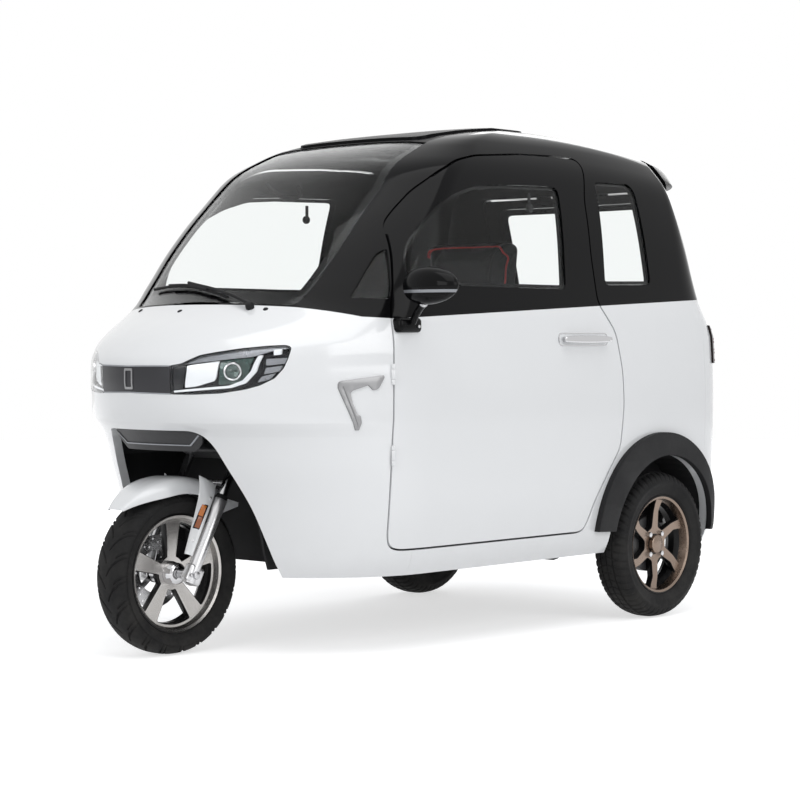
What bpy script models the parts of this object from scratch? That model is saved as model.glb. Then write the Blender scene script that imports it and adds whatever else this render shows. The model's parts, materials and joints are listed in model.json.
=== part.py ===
"""Electric three-wheel moped with a closed cabin, built as an assembly of separate sub-parts.

Metres, +Z up, the nose towards -Y and the vehicle's left side towards +X. Lengths below run
along Y from the rear axle; the whole vehicle then stands with its plan box centred on the origin.
"""
import bpy
from math import cos, pi, radians, sin
from mathutils import Matrix, Vector

# Running gear
WHEELBASE = 1.721
REAR_TRACK = 1.053
FRONT_TYRE_RADIUS = 0.243
FRONT_TYRE_WIDTH = 0.130
FRONT_RIM_RADIUS = 0.179
FRONT_RIM_WIDTH = 0.092
REAR_TYRE_RADIUS = 0.247
REAR_TYRE_WIDTH = 0.128
REAR_RIM_RADIUS = 0.167
REAR_RIM_WIDTH = 0.096
HUB_RADIUS = 0.034
AXLE_RADIUS = 0.009
FORK_RAKE = radians(28.5)
FORK_LEG_X = 0.105
FORK_LEG_RADIUS = 0.021
STANCHION_RADIUS = 0.015
STEM_RADIUS = 0.014
FORK_BRIDGE_RADIUS = 0.009
MUDGUARD_RADIUS = 0.290
MUDGUARD_HALF_WIDTH = 0.076
DISC_RADIUS = 0.110

# Body shell
WALL = 0.028
GLASS_THICKNESS = 0.005
GLASS_SINK = 0.004
SEAM = 0.0004
DOOR_GAP = 0.006
TAIL_Y = 0.430
TAIL_START = 0.120
DOOR_FRONT_Y = -1.345
FRONT_SEAM_Y = -1.260
TAIL_SEAM_Y = 0.235
TAIL_LAMP_Y = 0.300
SILL_Z = 0.238
SCREEN_TOP_Y = -0.930
ROOF_HALF_WIDTH = 0.330
ROOF_FALL = 0.075
ROOF_FALL_FROM = -0.45
SPOILER_Y = 0.170
HATCH_HALF_WIDTH = 0.400
HATCH_BOTTOM_Z = 0.790
HATCH_TOP_Z = 1.455
SPOILER_LOW_Z = HATCH_TOP_Z + 0.008
ARCH_RADIUS = 0.288
FLARE_RADIUS = 0.345
FLARE_REACH = 0.022

# Cabin
FLOOR_Z = 0.300
FLOOR_THICKNESS = 0.016
HOUSING_HALF_WIDTH = 0.275
HOUSING_TOP_Z = 0.690
HOUSING_BACK_Y = -1.400
SEAT_WIDTH = 0.400
SEAT_Z = 0.600

FRONT_AXLE_Y = -WHEELBASE
REAR_AXLE_Y = (WHEELBASE + FRONT_TYRE_RADIUS - TAIL_Y) / 2
REAR_WHEEL_X = REAR_TRACK / 2
DECK_HALF_WIDTH = REAR_WHEEL_X - REAR_TYRE_WIDTH / 2 - 0.0385
STEER_DIRECTION = Vector((0, sin(FORK_RAKE), cos(FORK_RAKE)))
FRONT_AXLE = Vector((0, FRONT_AXLE_Y, FRONT_TYRE_RADIUS))
HINGE_Y = DOOR_FRONT_Y - 0.004
HINGE_PROUD = 0.002
HINGE_PIN_RADIUS = 0.003
HINGE_KNUCKLE_RADIUS = 0.0065
HINGE_LENGTH = 0.030
HINGE_TONGUE = 0.024
HINGE_HEIGHTS = (0.60, 0.84)
HATCH_HINGE = Vector((0.130, 0.241, HATCH_TOP_Z + 0.0035))
PLAY = 0.0006

# Mirror on the left door, and the door handles
MIRROR_X = 0.705
MIRROR_Y = -1.325
MIRROR_Z = 1.100
MIRROR_REACH = 0.105
MIRROR_DEPTH = 0.040
MIRROR_RISE = 0.056
MIRROR_FOOT_Y = -1.285
MIRROR_FOOT_Z = 0.985
MIRROR_FOOT_SIZE = (0.044, 0.10, 0.045)
MIRROR_ARM_RADIUS = 0.011
HANDLE_Y = -0.450
HANDLE_Z = 0.943
HANDLE_LENGTH = 0.235
HANDLE_HEIGHT = 0.026
HANDLE_THICKNESS = 0.012
HANDLE_OUT = 0.024

# Lid in the roof
LID_FRONT_Y = -0.900
LID_BACK_Y = -0.360
LID_HALF_WIDTH = 0.280
LID_PROUD = 0.009
LID_CORNER = 0.045

WHEEL_STEPS = 20
ARCH_RISE = 0.020
FLARE_CENTRE = (-0.03, 0.285)
FRONT_HUB_OUT = 0.012
REAR_HUB_OUT = 0.034
REAR_HUB_IN = 0.034
FLARE_LOW_Z = 0.275
DRUM_RADIUS = 0.090
DISC_X = 0.058
CLAMP_AT = 0.41
HEAD_AT = 0.58
BAR_AT = 0.86
MUDGUARD_FRONT = 46
MUDGUARD_BACK = 36
MUDGUARD_DEPTH = 0.050
MUDGUARD_STEPS = 14
SHEET = 0.0036
STAY_CLEARANCE = 0.0250
DECK_FRONT_Y = -0.330
DECK_BACK_Y = 0.390
DECK_Z = 0.600
LUGGAGE_STEP = 0.006
TREAD_HALF_WIDTH = 0.250
TREAD_FRONT_Y = -1.340
TREAD_BACK_Y = -0.930
TREAD_RISE = 0.003
RAIL_X = 0.300
SPRING_X = 0.360
UPRIGHT_X = 0.150
HEAD_CROSS_Z = 0.760
DASH_Z = 1.020
DASH_BACK_Y = -1.430
SEAT_Y = -0.685
SEAT_BACK_HEIGHT = 0.800

# Regions that are cut out of the body reach past it, and those of one side start past its middle
PAST_SIDE = 0.9
PAST_NOSE_Y = -2.2
PAST_TAIL_Y = 0.9
PAST_ROOF_Z = 1.8
NOSE_BACK_Y = -1.2
TAIL_FRONT_Y = 0.1
HALF_X = 0.1

# Stay of the mudguard ahead of each fork leg: distance up the leg, X and reach of its front edge, X of its rear one
STAY_ROWS = [(0.262, 0.0765, 0.075, 0.096), (0.16, 0.080, 0.052, 0.104), (0.05, 0.086, 0.040, 0.106)]

# Curves of the body against height: each row is a height and the value there
SIDE = [(0.20, 0.529), (0.30, 0.575), (0.50, 0.590), (0.75, 0.595), (1.00, 0.582), (1.10, 0.568),
        (1.30, 0.540), (1.45, 0.505), (1.50, 0.485), (1.55, 0.450), (1.60, 0.400), (1.63, 0.300)]
NOSE = [(0.20, -1.65), (0.44, -1.71), (0.56, -1.76), (0.66, -1.805), (0.70, -1.845), (0.78, -1.868),
        (0.82, -1.874), (0.866, -1.874), (0.915, -1.834), (0.96, -1.775), (1.048, -1.611),
        (1.104, -1.55), (1.21, -1.455), (1.325, -1.345), (1.409, -1.25), (1.478, -1.165),
        (1.534, -1.06), (1.58, -0.92), (1.61, -0.75), (1.63, -0.60)]
NOSE_START = [(1.10, -1.20), (1.21, -1.15), (1.325, -1.07), (1.409, -1.00), (1.478, -0.93),
              (1.534, -0.83), (1.57, -0.79), (1.60, -0.70), (1.63, -0.50)]
NOSE_POWER = [(0.70, 1.95), (0.80, 1.87), (0.866, 1.87), (0.93, 2.0), (1.35, 2.0), (1.50, 2.3)]
TAIL = [(0.95, TAIL_Y), (1.08, TAIL_Y - 0.04), (1.47, TAIL_Y - 0.175), (1.63, TAIL_Y - 0.28)]
SPOILER_TAIL = [(1.47, TAIL_Y - 0.175), (1.50, TAIL_Y - 0.175), (1.534, TAIL_Y - 0.02),
                (1.58, TAIL_Y - 0.012), (1.61, TAIL_Y - 0.06), (1.63, TAIL_Y - 0.16)]
TAIL_POWER = [(0.95, 4.0), (1.08, 3.0), (1.47, 2.5)]
ROOF_FALL_START_Z = 1.0
ROOF_EDGE_Z = 1.47
STATIONS = [0.20, 0.30, 0.44, 0.56, 0.66, 0.70, 0.78, 0.82, 0.866, 0.915, 0.96, 1.00, 1.048,
            1.104, 1.21, 1.325, 1.409, 1.478, 1.50, 1.534, 1.58, 1.61, 1.63]
NOSE_STEPS = 13
SIDE_STEPS = 3
TAIL_STEPS = 6

# Side view outlines, (Y, Z)
BELT = [(-2.30, 1.049), (-1.62, 1.049), (-1.535, 1.038), (-1.42, 1.010), (-1.33, 1.005),
        (-0.34, 1.053), (0.19, 1.078), (0.60, 1.09)]
DOOR = [(-1.345, 0.36), (-1.345, 0.68), (-1.335, 1.005), (-1.254, 1.286), (-1.213, 1.327),
        (-1.131, 1.396), (-1.04, 1.454), (-0.952, 1.496), (-0.86, 1.516), (-0.625, 1.534),
        (-0.457, 1.538), (-0.335, 1.536), (-0.318, 1.515), (-0.36, 1.40), (-0.367, 1.219),
        (-0.356, 1.06), (-0.273, 0.964), (-0.246, 0.84), (-0.24, 0.722), (-0.256, 0.589),
        (-0.325, 0.50), (-0.385, 0.42), (-0.43, 0.334), (-0.455, 0.32), (-1.315, 0.32),
        (-1.338, 0.332)]
DOOR_GLASS = [(-1.262, 1.105), (-1.259, 1.176), (-1.242, 1.22), (-1.202, 1.265), (-1.122, 1.33),
              (-1.088, 1.354), (-1.005, 1.392), (-0.906, 1.42), (-0.776, 1.43), (-0.505, 1.437),
              (-0.487, 1.421), (-0.493, 1.345), (-0.503, 1.231), (-0.514, 1.105)]
QUARTER_GLASS = [(-0.304, 1.122), (-0.279, 1.464), (-0.087, 1.468), (-0.061, 1.442),
                 (-0.047, 1.127)]
CORNER_GLASS = [(-1.423, 1.066), (-1.315, 1.200), (-1.285, 1.215), (-1.325, 1.064)]

# Front view outlines, (X, Z), left half
SCREEN = [(0.0, 1.056), (0.353, 1.044), (0.366, 1.104), (0.379, 1.21), (0.376, 1.325),
          (0.373, 1.409), (0.355, 1.478), (0.345, 1.534), (0.330, 1.58), (0.330, 1.66),
          (0.0, 1.66)]
FRONT_OPENING = [(0.0, 0.675), (0.190, 0.675), (0.222, 0.640), (0.255, 0.54), (0.285, 0.44),
                 (0.330, 0.235), (0.330, 0.20), (0.0, 0.20)]
HEADLAMP = [(0.150, 0.782), (0.213, 0.782), (0.286, 0.786), (0.342, 0.797), (0.376, 0.809),
            (0.406, 0.830), (0.423, 0.860), (0.430, 0.889), (0.432, 0.914), (0.430, 0.921),
            (0.419, 0.927), (0.383, 0.925), (0.322, 0.917), (0.264, 0.906), (0.227, 0.898),
            (0.205, 0.886), (0.183, 0.873), (0.150, 0.868)]
NOSE_BAND = [(0.0, 0.785), (0.150, 0.782), (0.150, 0.868), (0.0, 0.866)]
HATCH_GLASS = [(-0.345, 1.115), (0.345, 1.115), (0.325, HATCH_TOP_Z - 0.055),
               (0.300, HATCH_TOP_Z - 0.030), (-0.300, HATCH_TOP_Z - 0.030), (-0.325, HATCH_TOP_Z - 0.055)]
TAIL_LAMP = [(0.470, 0.860), (0.640, 0.860), (0.640, 0.985), (0.470, 1.000)]


def clear_scene():
    for item in list(bpy.data.objects):
        bpy.data.objects.remove(item, do_unlink=True)


def paint(name, colour, roughness=0.5, metallic=0.0, alpha=1.0):
    """A Principled material."""
    material = bpy.data.materials.new(name)
    material.use_nodes = True
    shader = material.node_tree.nodes["Principled BSDF"]
    shader.inputs["Base Color"].default_value = (*colour, 1.0)
    shader.inputs["Roughness"].default_value = roughness
    shader.inputs["Metallic"].default_value = metallic
    shader.inputs["Alpha"].default_value = alpha
    material.diffuse_color = (*colour, alpha)
    return material


def along(curve, height):
    """The value of a curve at a height, straight between its rows."""
    if height <= curve[0][0]:
        return curve[0][1]
    for (low, start), (high, end) in zip(curve, curve[1:]):
        if height <= high:
            return start + (end - start) * (height - low) / (high - low)
    return curve[-1][1]


def grow(outline, distance):
    """A closed outline, moved outwards by a distance (inwards when it is negative)."""
    count = len(outline)
    area = sum(outline[i][0] * outline[(i + 1) % count][1] - outline[(i + 1) % count][0] * outline[i][1]
               for i in range(count))
    turn = 1 if area > 0 else -1
    moved = []
    for i in range(count):
        before, here, after = (Vector(outline[k % count]) for k in (i - 1, i, i + 1))
        into = (here - before).normalized()
        out = (after - here).normalized()
        first = Vector((into.y, -into.x)) * turn
        second = Vector((out.y, -out.x)) * turn
        mitre = (first + second).normalized()
        moved.append(tuple(here + mitre * distance / max(0.5, mitre.dot(first))))
    return moved


def both_sides(half):
    """A full outline from its left half, which starts and ends on the centre plane."""
    return half + [(-x, z) for x, z in reversed(half[1:-1])]


def circle(centre, radius, start=0.0, end=2 * pi, steps=24):
    """Points of an arc, both ends in; a full circle leaves out the repeated point."""
    full = abs(end - start - 2 * pi) < 1e-6
    count = steps if full else steps + 1
    return [(centre[0] + radius * cos(start + (end - start) * i / steps),
             centre[1] + radius * sin(start + (end - start) * i / steps)) for i in range(count)]


def new_object(name, data):
    item = bpy.data.objects.new(name, data)
    bpy.context.scene.collection.objects.link(item)
    return item


def baked(item):
    """The object with its modifiers applied and its transform in the mesh."""
    bpy.context.view_layer.update()
    graph = bpy.context.evaluated_depsgraph_get()
    mesh = bpy.data.meshes.new_from_object(item.evaluated_get(graph), depsgraph=graph)
    mesh.transform(item.matrix_world)
    name = item.name
    bpy.data.objects.remove(item, do_unlink=True)
    return new_object(name, mesh)


def slab(outline, view, low, high, name="slab"):
    """A flat outline, extruded between two coordinates across the view: side, front or plan."""
    curve = bpy.data.curves.new(name, "CURVE")
    curve.dimensions = "2D"
    curve.fill_mode = "BOTH"
    curve.extrude = abs(high - low) / 2
    spline = curve.splines.new("POLY")
    spline.points.add(len(outline) - 1)
    for point, (first, second) in zip(spline.points, outline):
        point.co = (first, second, 0, 1)
    spline.use_cyclic_u = True
    item = new_object(name, curve)
    middle = (low + high) / 2
    axes = {"side": ((0, 0, 1), (1, 0, 0), (0, 1, 0)), "front": ((1, 0, 0), (0, 0, -1), (0, 1, 0)),
            "plan": ((1, 0, 0), (0, 1, 0), (0, 0, 1))}[view]
    turn = Matrix(axes).to_4x4()
    shift = {"side": (middle, 0, 0), "front": (0, middle, 0), "plan": (0, 0, middle)}[view]
    item.matrix_world = Matrix.Translation(shift) @ turn
    weld = item.modifiers.new("Weld", "WELD")
    weld.merge_threshold = 0.00001
    return outward(baked(item))


def block(size, centre, bevel=0.0, segments=1, name="block"):
    bpy.ops.mesh.primitive_cube_add(size=1, location=centre)
    item = bpy.context.active_object
    item.name = name
    item.scale = size
    bpy.ops.object.transform_apply(location=True, rotation=False, scale=True)
    if bevel:
        edge = item.modifiers.new("Round", "BEVEL")
        edge.width = bevel
        edge.segments = segments
    return baked(item)


def rod(start, end, radius, sides=16, name="rod"):
    """A round bar between two points."""
    start, end = Vector(start), Vector(end)
    bpy.ops.mesh.primitive_cylinder_add(vertices=sides, radius=radius, depth=(end - start).length)
    item = bpy.context.active_object
    item.name = name
    item.matrix_world = Matrix.Translation((start + end) / 2) @ (
        (end - start).to_track_quat("Z", "Y").to_matrix().to_4x4())
    return baked(item)


def turned(profile, centre, steps=40, name="turned"):
    """A closed profile (across, radius), turned about an axle along X."""
    mesh = bpy.data.meshes.new(name)
    count = len(profile)
    mesh.from_pydata([(x, 0, r) for x, r in profile],
                     [(i, (i + 1) % count) for i in range(count)], [])
    item = new_object(name, mesh)
    item.location = centre
    screw = item.modifiers.new("Turn", "SCREW")
    screw.axis = "X"
    screw.steps = screw.render_steps = steps
    screw.use_merge_vertices = True
    screw.merge_threshold = 0.00005
    return outward(baked(item))


def sheet(name, points, faces):
    """A thin pressed sheet from its middle surface."""
    mesh = bpy.data.meshes.new(name)
    mesh.from_pydata([tuple(point) for point in points], [], faces)
    item = outward(new_object(name, mesh))
    wall = item.modifiers.new("Wall", "SOLIDIFY")
    wall.thickness = SHEET
    wall.offset = 0
    return outward(baked(item))


def outward(item):
    """Normals pointing out of a closed solid."""
    bpy.ops.object.select_all(action="DESELECT")
    bpy.context.view_layer.objects.active = item
    item.select_set(True)
    bpy.ops.object.mode_set(mode="EDIT")
    bpy.ops.mesh.select_all(action="SELECT")
    bpy.ops.mesh.normals_make_consistent(inside=False)
    bpy.ops.object.mode_set(mode="OBJECT")
    return item


def combine(item, other, operation):
    """Boolean of two solids; the second one is used up."""
    step = item.modifiers.new("Combine", "BOOLEAN")
    step.operation = operation
    step.solver = "EXACT"
    step.use_hole_tolerant = True
    step.object = other
    result = baked(item)
    bpy.data.objects.remove(other, do_unlink=True)
    return result


def cut(item, *others):
    for other in others:
        item = combine(item, other, "DIFFERENCE")
    return item


def join(item, *others):
    for other in others:
        item = combine(item, other, "UNION")
    return item


def copied(item, name):
    twin = new_object(name, item.data.copy())
    twin.matrix_world = item.matrix_world
    return twin


def mirrored(item, name):
    """The right-hand twin of a left-hand piece."""
    twin = copied(item, name)
    twin.data.transform(Matrix.Scale(-1, 4, (1, 0, 0)))
    twin.data.flip_normals()
    return twin


def tidy(item, angle=0.1):
    """Merge what the cuts left doubled and join faces that lie flat."""
    weld = item.modifiers.new("Weld", "WELD")
    weld.merge_threshold = 0.00002
    flat = item.modifiers.new("Flat", "DECIMATE")
    flat.decimate_type = "DISSOLVE"
    flat.angle_limit = radians(angle)
    return baked(item)


def finish(item, name, material, body):
    """Name a piece, give it its material and hang it on the body that it moves with."""
    item.name = name
    item.data.name = name
    item.data.materials.clear()
    item.data.materials.append(material)
    item.parent = body
    item.location = -offset_of(body)
    return item


def offset_of(body):
    """Where a body's origin lies in the vehicle's own coordinates."""
    place = Vector((0, 0, 0))
    while body.parent:
        place += body.location
        body = body.parent
    return place


def empty(name, place, parent):
    item = new_object(name, None)
    if parent:
        item.parent = parent
        item.location = Vector(place) - offset_of(parent)
    else:
        item.location = place
    return item


def plan_ring(height, tail_curve):
    """Plan outline of the body at a height, from the nose round the left side and back."""
    width, nose, tail = along(SIDE, height), along(NOSE, height), along(tail_curve, height)
    start, power = along(NOSE_START, height), 2 / along(NOSE_POWER, height)
    corner = 2 / along(TAIL_POWER, height)
    half = []
    for i in range(NOSE_STEPS + 1):
        turn = pi / 2 * i / NOSE_STEPS
        half.append((width * sin(turn) ** power, start - (start - nose) * max(0, cos(turn)) ** power))
    for i in range(1, SIDE_STEPS):
        half.append((width, start + (TAIL_START - start) * i / SIDE_STEPS))
    for i in range(TAIL_STEPS + 1):
        turn = pi / 2 * i / TAIL_STEPS
        half.append((width * max(0, cos(turn)) ** corner,
                     TAIL_START + (tail - TAIL_START) * sin(turn) ** corner))
    half[-1] = (0.0, half[-1][1])
    return both_sides(half)


def nose_side(y, height):
    """The body's half width at a place along its nose."""
    start, power = along(NOSE_START, height), along(NOSE_POWER, height)
    share = (start - y) / (start - along(NOSE, height))
    return along(SIDE, height) * (1 - share ** power) ** (1 / power)


def lofted(name, tail_curve=TAIL, closed=False):
    """The body's outer surface, lofted through its plan outlines and closed over the roof."""
    points, faces = [], []
    rings = [plan_ring(height, tail_curve) for height in STATIONS]
    size = len(rings[0])
    roof_rise = STATIONS[-1] - ROOF_FALL_START_Z
    for height, ring in zip(STATIONS, rings):
        for x, y in ring:
            share = max(0.0, (height - ROOF_FALL_START_Z) / roof_rise)
            back = min(1.0, max(0.0, (y - ROOF_FALL_FROM) / (TAIL_Y - 0.08 - ROOF_FALL_FROM)))
            points.append((x, y, height - ROOF_FALL * share * back * back))
    for level in range(len(rings) - 1):
        for i in range(size):
            a, b = level * size + i, level * size + (i + 1) % size
            faces.append((a, b, b + size, a + size))
    faces.append(tuple(range((len(rings) - 1) * size, len(rings) * size)))
    if closed:
        faces.append(tuple(range(size)))
    mesh = bpy.data.meshes.new(name)
    mesh.from_pydata(points, [], faces)
    return outward(new_object(name, mesh))


def skin(name, sink, thickness):
    """The body's outer surface, sunk and thickened inwards."""
    item = lofted(name)
    if sink:
        shift = item.modifiers.new("Sink", "DISPLACE")
        shift.strength = -sink
        shift.mid_level = 0.0
    wall = item.modifiers.new("Wall", "SOLIDIFY")
    wall.thickness = thickness
    wall.offset = -1
    wall.use_even_offset = True
    wall.thickness_clamp = 0.0
    return baked(item)


def under_belt(first, last, gap=SEAM / 2):
    """Side view region below the belt line between two stations along Y."""
    top = [(first, along(BELT, first) - gap)]
    top += [(y, z - gap) for y, z in BELT if first < y < last]
    top += [(last, along(BELT, last) - gap)]
    return [(first, SILL_Z)] + top + [(last, SILL_Z)]


def over_tail(margin):
    """Side view region of the roof's rear edge, which overhangs the hatch."""
    return grow([(SPOILER_Y, SPOILER_LOW_Z), (PAST_TAIL_Y, SPOILER_LOW_Z), (PAST_TAIL_Y, PAST_ROOF_Z),
                 (SPOILER_Y, PAST_ROOF_Z)], margin)


def over_belt(first, last, gap=SEAM / 2):
    """Side view region above the belt line between two stations along Y."""
    line = [(first, along(BELT, first) + gap)]
    line += [(y, z + gap) for y, z in BELT if first < y < last]
    line += [(last, along(BELT, last) + gap)]
    return line + [(last, PAST_ROOF_Z), (first, PAST_ROOF_Z)]


def tyre(name, centre, radius, width, rim_radius, rim_width, rubber, body):
    half, rim_half = width / 2, rim_width / 2
    bead = rim_half - 0.0085
    side = [(bead, rim_radius - 0.0117), (bead, rim_radius + SEAM), (rim_half + 0.002, rim_radius + SEAM),
            (half, (radius + rim_radius) / 2), (half - 0.005, radius - 0.018),
            (half - 0.019, radius - 0.005), (half * 0.35, radius)]
    profile = side + [(-x, r) for x, r in reversed(side)]
    finish(turned(profile, centre, WHEEL_STEPS), name, rubber, body)


def rim(name, centre, radius, width, spokes, hub_out, hub_in, drum, metal, body, sign=1):
    """A cast wheel: barrel, drop centre, spoked face and hub, the face towards sign * X."""
    half = width / 2
    face = half - 0.022
    profile = [(-half, radius), (-half + 0.006, radius), (-half + 0.008, radius - 0.012),
               (-half + 0.022, radius - 0.014), (-half + 0.030, radius - 0.028),
               (half - 0.040, radius - 0.028), (half - 0.030, radius - 0.014),
               (half - 0.008, radius - 0.012), (half - 0.006, radius), (half, radius),
               (half - 0.010, radius - 0.020), (face, radius - 0.024), (hub_out, HUB_RADIUS + 0.004),
               (hub_out, AXLE_RADIUS + 0.001), (-hub_in, AXLE_RADIUS + 0.001), (-hub_in, drum),
               (hub_out - 0.026, drum), (face - 0.014, radius - 0.034),
               (-half + 0.028, radius - 0.034), (-half + 0.008, radius - 0.018)]
    wheel = turned([(sign * x, r) for x, r in profile], centre, WHEEL_STEPS)
    inner, outer = max(HUB_RADIUS + 0.014, drum + 0.004), radius - 0.038
    for i in range(spokes):
        turn = 2 * pi * (i + 0.5) / spokes
        wide = pi / spokes
        window = circle((0, 0), outer, turn - wide + 0.014 / outer, turn + wide - 0.014 / outer, 4)
        window += circle((0, 0), inner, turn + wide - 0.012 / inner, turn - wide + 0.012 / inner, 1)
        window = [(y + centre[1], z + centre[2]) for y, z in window]
        wheel = cut(wheel, slab(window, "side", centre[0] - half, centre[0] + half))
    finish(tidy(wheel), name, metal, body)


def build_wheels(front_wheel, rear_wheels, rubber, silver, steel):
    tyre("front_tyre", FRONT_AXLE, FRONT_TYRE_RADIUS, FRONT_TYRE_WIDTH, FRONT_RIM_RADIUS,
         FRONT_RIM_WIDTH, rubber, front_wheel)
    rim("front_rim", FRONT_AXLE, FRONT_RIM_RADIUS, FRONT_RIM_WIDTH, 5, FRONT_HUB_OUT, DISC_X - 0.0024,
        HUB_RADIUS, silver, front_wheel)
    thick = 0.002
    disc = [(-DISC_X - thick, 0.011), (-DISC_X + thick, 0.011), (-DISC_X + thick, DISC_RADIUS),
            (-DISC_X - thick, DISC_RADIUS)]
    finish(turned(disc, FRONT_AXLE, WHEEL_STEPS), "brake_disc", silver, front_wheel)
    for side, sign in (("left", 1), ("right", -1)):
        centre = Vector((sign * REAR_WHEEL_X, 0, REAR_TYRE_RADIUS))
        tyre("rear_tyre_" + side, centre, REAR_TYRE_RADIUS, REAR_TYRE_WIDTH, REAR_RIM_RADIUS,
             REAR_RIM_WIDTH, rubber, rear_wheels[side])
        rim("rear_rim_" + side, centre, REAR_RIM_RADIUS, REAR_RIM_WIDTH, 6, REAR_HUB_OUT,
            REAR_HUB_IN, DRUM_RADIUS, silver, rear_wheels[side], sign)


def build_steering(steering, steel, silver, white, plastic):
    """Fork with its clamp, stem and axle, the mudguard and the handlebar."""
    def along_stem(distance, x=0.0):
        return FRONT_AXLE + STEER_DIRECTION * distance + Vector((x, 0, 0))

    fork = rod(along_stem(CLAMP_AT), along_stem(BAR_AT), STEM_RADIUS)
    clamp = block((2 * FORK_LEG_X + 0.05, 0.055, 0.034), (0, 0, 0), 0.008, 2)
    clamp.data.transform(Matrix.Translation(along_stem(CLAMP_AT)) @ Matrix.Rotation(-FORK_RAKE, 4, "X"))
    fork = join(fork, clamp, rod(FRONT_AXLE - Vector((FORK_LEG_X + 0.028, 0, 0)),
                                 FRONT_AXLE + Vector((FORK_LEG_X + 0.028, 0, 0)), AXLE_RADIUS))
    bridge = along_stem(MUDGUARD_RADIUS + 0.002 + SEAM + FORK_BRIDGE_RADIUS)
    fork = join(fork, rod(bridge - Vector((FORK_LEG_X, 0, 0)), bridge + Vector((FORK_LEG_X, 0, 0)),
                          FORK_BRIDGE_RADIUS, 12))
    for sign in (1, -1):
        x = sign * FORK_LEG_X
        hub_face = FRONT_HUB_OUT if sign > 0 else DISC_X + 0.002
        fork = join(fork, rod(along_stem(0.20, x), along_stem(CLAMP_AT + 0.03, x), STANCHION_RADIUS),
                    rod(along_stem(-0.030, x), along_stem(0.25, x), FORK_LEG_RADIUS),
                    rod(FRONT_AXLE + Vector((sign * (hub_face + SEAM), 0, 0)), FRONT_AXLE + Vector((x, 0, 0)),
                        AXLE_RADIUS + 0.006))
    finish(tidy(fork), "fork", silver, steering)

    points, faces, across = [], [], 7
    for step in range(MUDGUARD_STEPS + 1):
        turn = radians(MUDGUARD_FRONT - (MUDGUARD_FRONT + MUDGUARD_BACK) * step / MUDGUARD_STEPS)
        full = sin(pi / 2 * min(1.0, step / (0.45 * MUDGUARD_STEPS)))
        wide = MUDGUARD_HALF_WIDTH * (0.40 + 0.60 * full)
        deep = MUDGUARD_DEPTH * (0.16 + 0.84 * full)
        half = [(wide, deep), (wide, deep * 0.36), (wide * 0.79, deep * 0.06), (0.0, 0.0)]
        for x, drop in half + [(-x, drop) for x, drop in reversed(half[:-1])]:
            r = MUDGUARD_RADIUS - drop
            points.append(FRONT_AXLE + Vector((x, -r * sin(turn), r * cos(turn))))
    for step in range(MUDGUARD_STEPS):
        for k in range(across - 1):
            a = step * across + k
            faces.append((a, a + 1, a + 1 + across, a + across))
    guard = sheet("mudguard", points, faces)
    forward = Vector((0, -cos(FORK_RAKE), sin(FORK_RAKE)))
    for sign in (1, -1):
        stay = []
        for up, front_x, front_out, rear_x in STAY_ROWS:
            stay += [along_stem(up, sign * front_x) + forward * front_out,
                     along_stem(up, sign * rear_x) + forward * STAY_CLEARANCE]
        guard = join(guard, sheet("stay", stay, [(0, 1, 3, 2), (2, 3, 5, 4)]))
    finish(guard, "mudguard", white, steering)

    bar = bpy.data.curves.new("handlebar", "CURVE")
    bar.dimensions = "3D"
    bar.bevel_depth = 0.011
    bar.bevel_resolution = 2
    bar.resolution_u = 4
    bar.use_fill_caps = True
    spline = bar.splines.new("BEZIER")
    top = along_stem(BAR_AT + 0.0125)
    half = [(0.0, 0.0, 0.0), (0.09, 0.0, 0.0), (0.17, 0.05, 0.03), (0.34, 0.13, 0.02)]
    route = [(-x, y, z) for x, y, z in reversed(half[1:])] + half
    spline.bezier_points.add(len(route) - 1)
    for point, (x, y, z) in zip(spline.bezier_points, route):
        point.co = top + Vector((x, y, z))
        point.handle_left_type = point.handle_right_type = "AUTO"
    bar = outward(tidy(baked(new_object("handlebar", bar))))
    for sign in (1, -1):
        end = top + Vector((sign * 0.34, 0.13, 0.02))
        inward = Vector((-sign * 0.905, -0.42, 0.05)).normalized()
        bar = join(bar, rod(end + inward * 0.125, end - inward * 0.004, 0.0165))
    finish(tidy(bar), "handlebar", steel, steering)


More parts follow.
